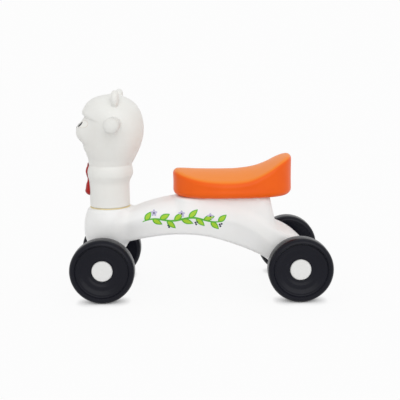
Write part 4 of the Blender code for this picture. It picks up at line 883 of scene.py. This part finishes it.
# Wheels and hardware
def wheel_outline():
    """Radius and distance along the axle: the dished face, the tyre and the shallow back."""
    half, rim = WHEEL_WIDTH / 2, WHEEL_RADIUS
    bore, seat = AXLE_RADIUS + RUNNING, CAP_RADIUS + GAP
    face = [(bore, HUB_FACE), (seat, HUB_FACE), (seat, half - CAP_POCKET)]
    face += [(rim * share, half - depth) for share, depth in WHEEL_DISH]
    tyre = [(rim - TYRE_ROUNDING * (1 - math.sin(t)), half - TYRE_SHOULDER * (1 - math.cos(t)))
            for t in np.linspace(0, math.pi / 2, 12)]
    step, wide = TREAD_LINE
    tread = [(rim - step, wide), (rim, wide / 2), (rim, -wide / 2), (rim - step, -wide)]
    inner = [(r, -z) for r, z in reversed(tyre)]
    back = [(radius, depth - half) for radius, depth in WHEEL_BACK] + [(bore, -half)]
    return soften(face, HUB_EASE, closed=False) + tyre + tread + inner + back


def cap_outline():
    """A snap cap with a small dimple in front and a recess for the axle's end behind."""
    low, high = HUB_FACE + GAP, HUB_FACE + GAP + CAP_HEIGHT
    dimple = high - CAP_DIMPLE
    return soften([(0, dimple), (CAP_DIMPLE_RADIUS, dimple), (CAP_DIMPLE_RADIUS + 0.6, high - 0.05),
                   (CAP_RADIUS - CAP_EDGE, high), (CAP_RADIUS, high - CAP_EDGE),
                   (CAP_RADIUS, low), (CAP_RECESS, low), (CAP_RECESS, high - CAP_WALL),
                   (0, high - CAP_WALL)], CAP_EASE, closed=False)


def ring_outline(bore, radius, low, high):
    """A plain ring with its edges a little rounded."""
    return soften([(bore, low), (radius, low), (radius, high), (bore, high)], RING_EASE, steps=3)


def build_wheels():
    """Wheels, caps and spacers, the two axles, and the bushes of the rear one."""
    bore, inner = AXLE_RADIUS + GAP, -WHEEL_WIDTH / 2 - RUNNING
    ends = (("front", FRONT_X, FRONT_TRACK, FRONT_SPACER, "steering"),
            ("rear", REAR_X, REAR_TRACK, REAR_SPACER, "frame"))
    for end, x, track, spacer, carrier in ends:
        for side, word in SIDES:
            corner, centre = "%s_%s" % (end, word), (x, side * track / 2, AXLE_Z)
            body = corner + "_wheel"
            turned_piece("wheel_moulding_" + corner, wheel_outline(), centre, "black_wheel", body,
                         "wheel_" + corner, side=side, sides=128)
            turned_piece("snap_cap_" + corner, cap_outline(), centre, "grey_cap", body,
                         "hub_cap_" + corner, side=side, sides=96)
            ring = ring_outline(bore, SPACER_RADIUS, inner - spacer, inner)
            turned_piece("washer_" + corner, ring, centre, "natural_nylon", carrier,
                         "spacer_" + corner, side=side)
        reach, thin = track / 2 + HUB_FACE + AXLE_TIP, AXLE_RADIUS - AXLE_CHAMFER
        bar = [(0, -reach), (thin, -reach), (AXLE_RADIUS, AXLE_CHAMFER - reach),
               (AXLE_RADIUS, reach - AXLE_CHAMFER), (thin, reach), (0, reach)]
        turned_piece(end + "_axle_bar", bar, (x, 0, AXLE_Z), "steel", carrier, end + "_axle",
                     sides=48)
    outer = bore + BUSH_WALL
    bush = soften([(bore, BUSH_FLANGE), (BUSH_FLANGE_RADIUS, BUSH_FLANGE), (BUSH_FLANGE_RADIUS, 0),
                   (outer, 0), (outer, -BUSH_LENGTH), (bore, -BUSH_LENGTH)], RING_EASE, steps=3)
    for side, word in SIDES:
        turned_piece("rear_bush_ring_" + word, bush, (REAR_X, side * (BOSS_END + GAP), AXLE_Z),
                     "natural_nylon", "frame", "rear_bush_" + word, side=side)


def build_neck_washer():
    """The washer whose edge shows as a gold line between bulb and neck; the line's colour is partly
    painted seam shade and painted reflection.
    """
    low = BULB_TOP_Z + GAP
    ring = ring_outline(STEM_RADIUS + RUNNING, NECK_RADIUS + WASHER_LIP, low,
                        low + WASHER_THICKNESS)
    turned_piece("neck_washer", ring, (STEER_X, 0, 0), "yellow_nylon", "frame", "steering_washer",
                 axis="Z", sides=144)


# Printed band on the flanks: a plain trailing sprig
def flank_reach():
    """How far the flank stands from the middle plane, on a grid of places seen from the side."""
    x, height = np.meshgrid(FLANK_X, FLANK_HEIGHT, indexing="ij")
    return leaves_body(x, 0.0, height, 0.0 * x, 1.0 + 0.0 * x, 0.0 * x)


def flank_points(side, x, height, lift):
    """World points on a flank for places seen square from the side."""
    def step(at, grid):
        cell, part = np.divmod((np.asarray(at, float) - grid[0]) / (grid[1] - grid[0]), 1)
        return cell.astype(int), part
    (i, u), (j, v) = step(x, FLANK_X), step(height, FLANK_HEIGHT)
    near = FLANK[i, j] * (1 - v) + FLANK[i, j + 1] * v
    far = FLANK[i + 1, j] * (1 - v) + FLANK[i + 1, j + 1] * v
    reach = near * (1 - u) + far * u
    return np.stack((x, side * (reach + lift), AXLE_Z + height), axis=-1)


def flank_shape(name, side, outline, lift):
    """A thin printed shape from a closed outline of (x, height) around its middle."""
    outline = np.asarray(outline, float)
    middle = outline.mean(axis=0)
    rings = []
    for share, level in ((0.5, -INK_ROOT), (1.0, -INK_ROOT), (1.0, lift), (0.66, lift),
                         (0.33, lift)):
        at = middle + share * (outline - middle)
        rings.append(flank_points(side, at[:, 0], at[:, 1], level))
    return loft(name, rings, sharp=60)


def stem_height(x):
    """The sprig's stem: two slow waves on the label's arched middle line."""
    share = (x - SPRIG_START) / (SPRIG_END - SPRIG_START)
    arch = SPRIG_ARCH * (1 - (2 * share - 1) ** 2)
    return SPRIG_RISE + arch + SPRIG_WAVE * np.sin(4 * math.pi * share)


def leaf(x, height, length, width, degrees):
    """A pointed oval leaf that grows from a point at an angle."""
    t = np.linspace(0, 1, 15)
    # widest a little nearer its root
    half = width / 2 * np.sin(math.pi * t ** 0.8) ** 0.9
    along = np.concatenate((t, t[-2:0:-1])) * length
    across = np.concatenate((half, -half[-2:0:-1]))
    c, s = math.cos(math.radians(degrees)), math.sin(math.radians(degrees))
    return np.stack((x + along * c - across * s, height + along * s + across * c), axis=-1)


def disc(x, height, radius):
    """A small round print."""
    a = np.linspace(0, 2 * math.pi, 20, endpoint=False)
    return np.stack((x + radius * np.cos(a), height + radius * np.sin(a)), axis=-1)


def on_stem(share, above=0.0):
    """A place along the sprig, so far above its stem."""
    x = SPRIG_START + share * (SPRIG_END - SPRIG_START)
    return x, float(stem_height(x)) + above


def build_sprig(side, word):
    """Stem, leaves with lime hearts, five-petalled blossoms, and berries in threes."""
    groups = {"leaf": [], "lime": [], "lilac": [], "navy": []}
    def ink(paint, outline, lift):
        groups[paint].append(flank_shape(paint, side, outline, lift))
    x = np.linspace(SPRIG_START, SPRIG_END, 60)
    middle = stem_height(x)
    half = STEM_TIP + STEM_SWELL * np.sin(math.pi * np.linspace(0.02, 0.98, 60)) ** 0.5
    rings = []
    for share, level in ((-1, -INK_ROOT), (-1, STEM_INK), (0, STEM_INK), (1, STEM_INK),
                         (1, -INK_ROOT), (0, -INK_ROOT)):
        rings.append(flank_points(side, x, middle + share * half, level))
    groups["leaf"].append(loft("stem", np.swapaxes(np.array(rings), 0, 1), sharp=60))
    for k in range(LEAVES):
        share = (k + 0.35) / LEAVES
        x, height = on_stem(share)
        slope = math.degrees(math.atan((stem_height(x + 1) - stem_height(x - 1)) / 2))
        degrees = slope + (LEAF_ANGLE if k % 2 == 0 else -LEAF_ANGLE)
        length = LEAF_LENGTH - LEAF_TAPER * abs(share - 0.5)
        ink("leaf", leaf(x, height, length, LEAF_WIDTH, degrees), LEAF_INK)
        a = math.radians(degrees)
        heart = leaf(x + HEART_START * math.cos(a), height + HEART_START * math.sin(a),
                     length - 2 * HEART_START, HEART_WIDTH, degrees)
        ink("lime", heart, HEART_INK)
    for share, above in BLOSSOMS:
        x, height = on_stem(share, above)
        # five petals, the first one upright
        for degrees in range(90, 450, 72):
            a = math.radians(degrees)
            petal = leaf(x + PETAL_START * math.cos(a), height + PETAL_START * math.sin(a),
                         PETAL_LENGTH, PETAL_WIDTH, degrees)
            ink("lilac", petal, PETAL_INK)
        ink("navy", disc(x, height, EYELET_RADIUS), EYELET_INK)
    for share, above in BERRIES:
        x, height = on_stem(share, above)
        for across, up in BERRY_TRIO:
            ink("navy", disc(x + across, height + up, BERRY_RADIUS), BERRY_INK)
    for paint, meshes in groups.items():
        name = "sprig_%s_%s" % (paint, word)
        nodes = ("side_label_" + word,) if paint == "leaf" else ()
        piece(name, smoothed(joined(name, meshes), 60), paint + "_print", "frame", *nodes,
              slot="green_print")


# Studio
def seen_directly(tree):
    """1 where the camera, a gloss or a clear material looks, 0 for the light on the object."""
    path = add_node(tree, "ShaderNodeLightPath")
    seen = add_node(tree, "ShaderNodeMath", {"operation": "MAXIMUM"},
                    {0: (path, "Is Camera Ray"), 1: (path, "Is Glossy Ray")})
    return add_node(tree, "ShaderNodeMath", {"operation": "MAXIMUM"},
                    {0: (seen, "Value"), 1: (path, "Is Transmission Ray")})


def build_floor():
    """A white sweep, seen mostly plain white; near things an occlusion mask lets the lit paper
    through, a painted contact shade on top of the paper's real shadow.
    """
    r = FLOOR_REACH_M
    mesh = bpy.data.meshes.new("floor")
    mesh.from_pydata([(-r, -r, 0), (r, -r, 0), (r, r, 0), (-r, r, 0)], [], [(0, 1, 2, 3)])
    floor = bpy.data.objects.new("floor", mesh)
    bpy.context.scene.collection.objects.link(floor)
    made = bpy.data.materials.new("matt white paper sweep")
    made.use_nodes = True
    tree = made.node_tree
    tree.nodes.clear()
    paper = add_node(tree, "ShaderNodeBsdfDiffuse", {"Color": linear("#E8E8E9")})
    plain = add_node(tree, "ShaderNodeEmission", {"Color": linear("#FFFFFF"), "Strength": 1.0})
    # painted contact shade: the occlusion mask darkens the floor near things
    near = add_node(tree, "ShaderNodeAmbientOcclusion",
                    {"samples": 16, "Distance": CONTACT_SHADE_MM * MM})
    open_paper = add_node(tree, "ShaderNodeMath", {"operation": "MULTIPLY", 1: FLOOR_PLAIN},
                          {0: (near, "AO")})
    share = add_node(tree, "ShaderNodeMath", {"operation": "MULTIPLY"},
                     {0: (seen_directly(tree), "Value"), 1: (open_paper, "Value")})
    mix = add_node(tree, "ShaderNodeMixShader", {},
                   {"Fac": (share, "Value"), 1: (paper, "BSDF"), 2: (plain, "Emission")})
    add_node(tree, "ShaderNodeOutputMaterial", {}, {"Surface": (mix, "Shader")})
    mesh.materials.append(made)


def build_world():
    """Even light from all round, seen as the same plain white as the distant floor."""
    world = bpy.data.worlds.new("studio")
    bpy.context.scene.world = world
    world.use_nodes = True
    tree = world.node_tree
    tree.nodes.clear()
    fill = add_node(tree, "ShaderNodeBackground",
                    {"Color": linear("#FFFFFF"), "Strength": WORLD_FILL})
    white = add_node(tree, "ShaderNodeBackground",
                     {"Color": linear("#FFFFFF"), "Strength": BACKDROP_WHITE})
    mix = add_node(tree, "ShaderNodeMixShader", {},
                   {"Fac": (seen_directly(tree), "Value"), 1: (fill, "Background"),
                    2: (white, "Background")})
    add_node(tree, "ShaderNodeOutputWorld", {}, {"Surface": (mix, "Shader")})


def add_softbox(name, energy, spread, tilt, turn):
    """A wide, distant softbox; tilt is from straight overhead, turn is about the vertical."""
    lamp = bpy.data.lights.new(name, "SUN")
    lamp.energy = energy
    lamp.angle = math.radians(spread)
    obj = bpy.data.objects.new(name, lamp)
    obj.rotation_euler = (math.radians(tilt), 0, math.radians(turn))
    bpy.context.scene.collection.objects.link(obj)


def build_camera():
    """The photograph's own view, square to the toy's left side and a little above it."""
    yaw, pitch, roll = (math.radians(a) for a in (CAMERA_YAW, CAMERA_PITCH, CAMERA_ROLL))
    level = math.cos(pitch)
    right = Vector((math.cos(yaw), -math.sin(yaw), 0))
    ahead = Vector((math.sin(yaw) * level, math.cos(yaw) * level, -math.sin(pitch)))
    down = ahead.cross(right)
    x_axis = math.cos(roll) * right + math.sin(roll) * down
    y_axis = math.sin(roll) * right - math.cos(roll) * down
    camera = bpy.data.cameras.new("camera")
    camera.sensor_width = SENSOR_MM
    camera.lens = CAMERA_FOCUS_PIXELS / PHOTO_PIXELS * SENSOR_MM
    obj = bpy.data.objects.new("camera", camera)
    rows = [(x_axis[i], y_axis[i], -ahead[i]) for i in range(3)]
    place = Vector(CAMERA_PLACE) * MM
    obj.matrix_world = Matrix.Translation(place) @ Matrix(rows).to_4x4()
    bpy.context.scene.collection.objects.link(obj)
    bpy.context.scene.camera = obj


def dress_frame_parts():
    """CAD pieces that stay shown, such as the screws and the axle carrier, get their finish."""
    finishes = {"steering_fork": "black_fork", "steering_sleeve": "natural_nylon"}
    for name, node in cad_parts.items():
        if node.hide_render:
            continue
        paint = FINISH[finishes.get(name, "steel")]
        if not node.material_slots:
            node.data.materials.append(paint)
        for place in node.material_slots:
            place.material = paint


build_camera()
build_body()
build_seat()
build_head()
build_grips()
build_tie()
build_face()
build_wheels()
build_neck_washer()
FLANK = flank_reach()
for flank, flank_name in SIDES:
    build_sprig(flank, flank_name)
dress_frame_parts()
build_floor()
build_world()
for softbox in SOFTBOXES:
    add_softbox(*softbox)

scene = bpy.context.scene
scene.view_settings.view_transform = "Standard"

bpy.context.view_layer.update()
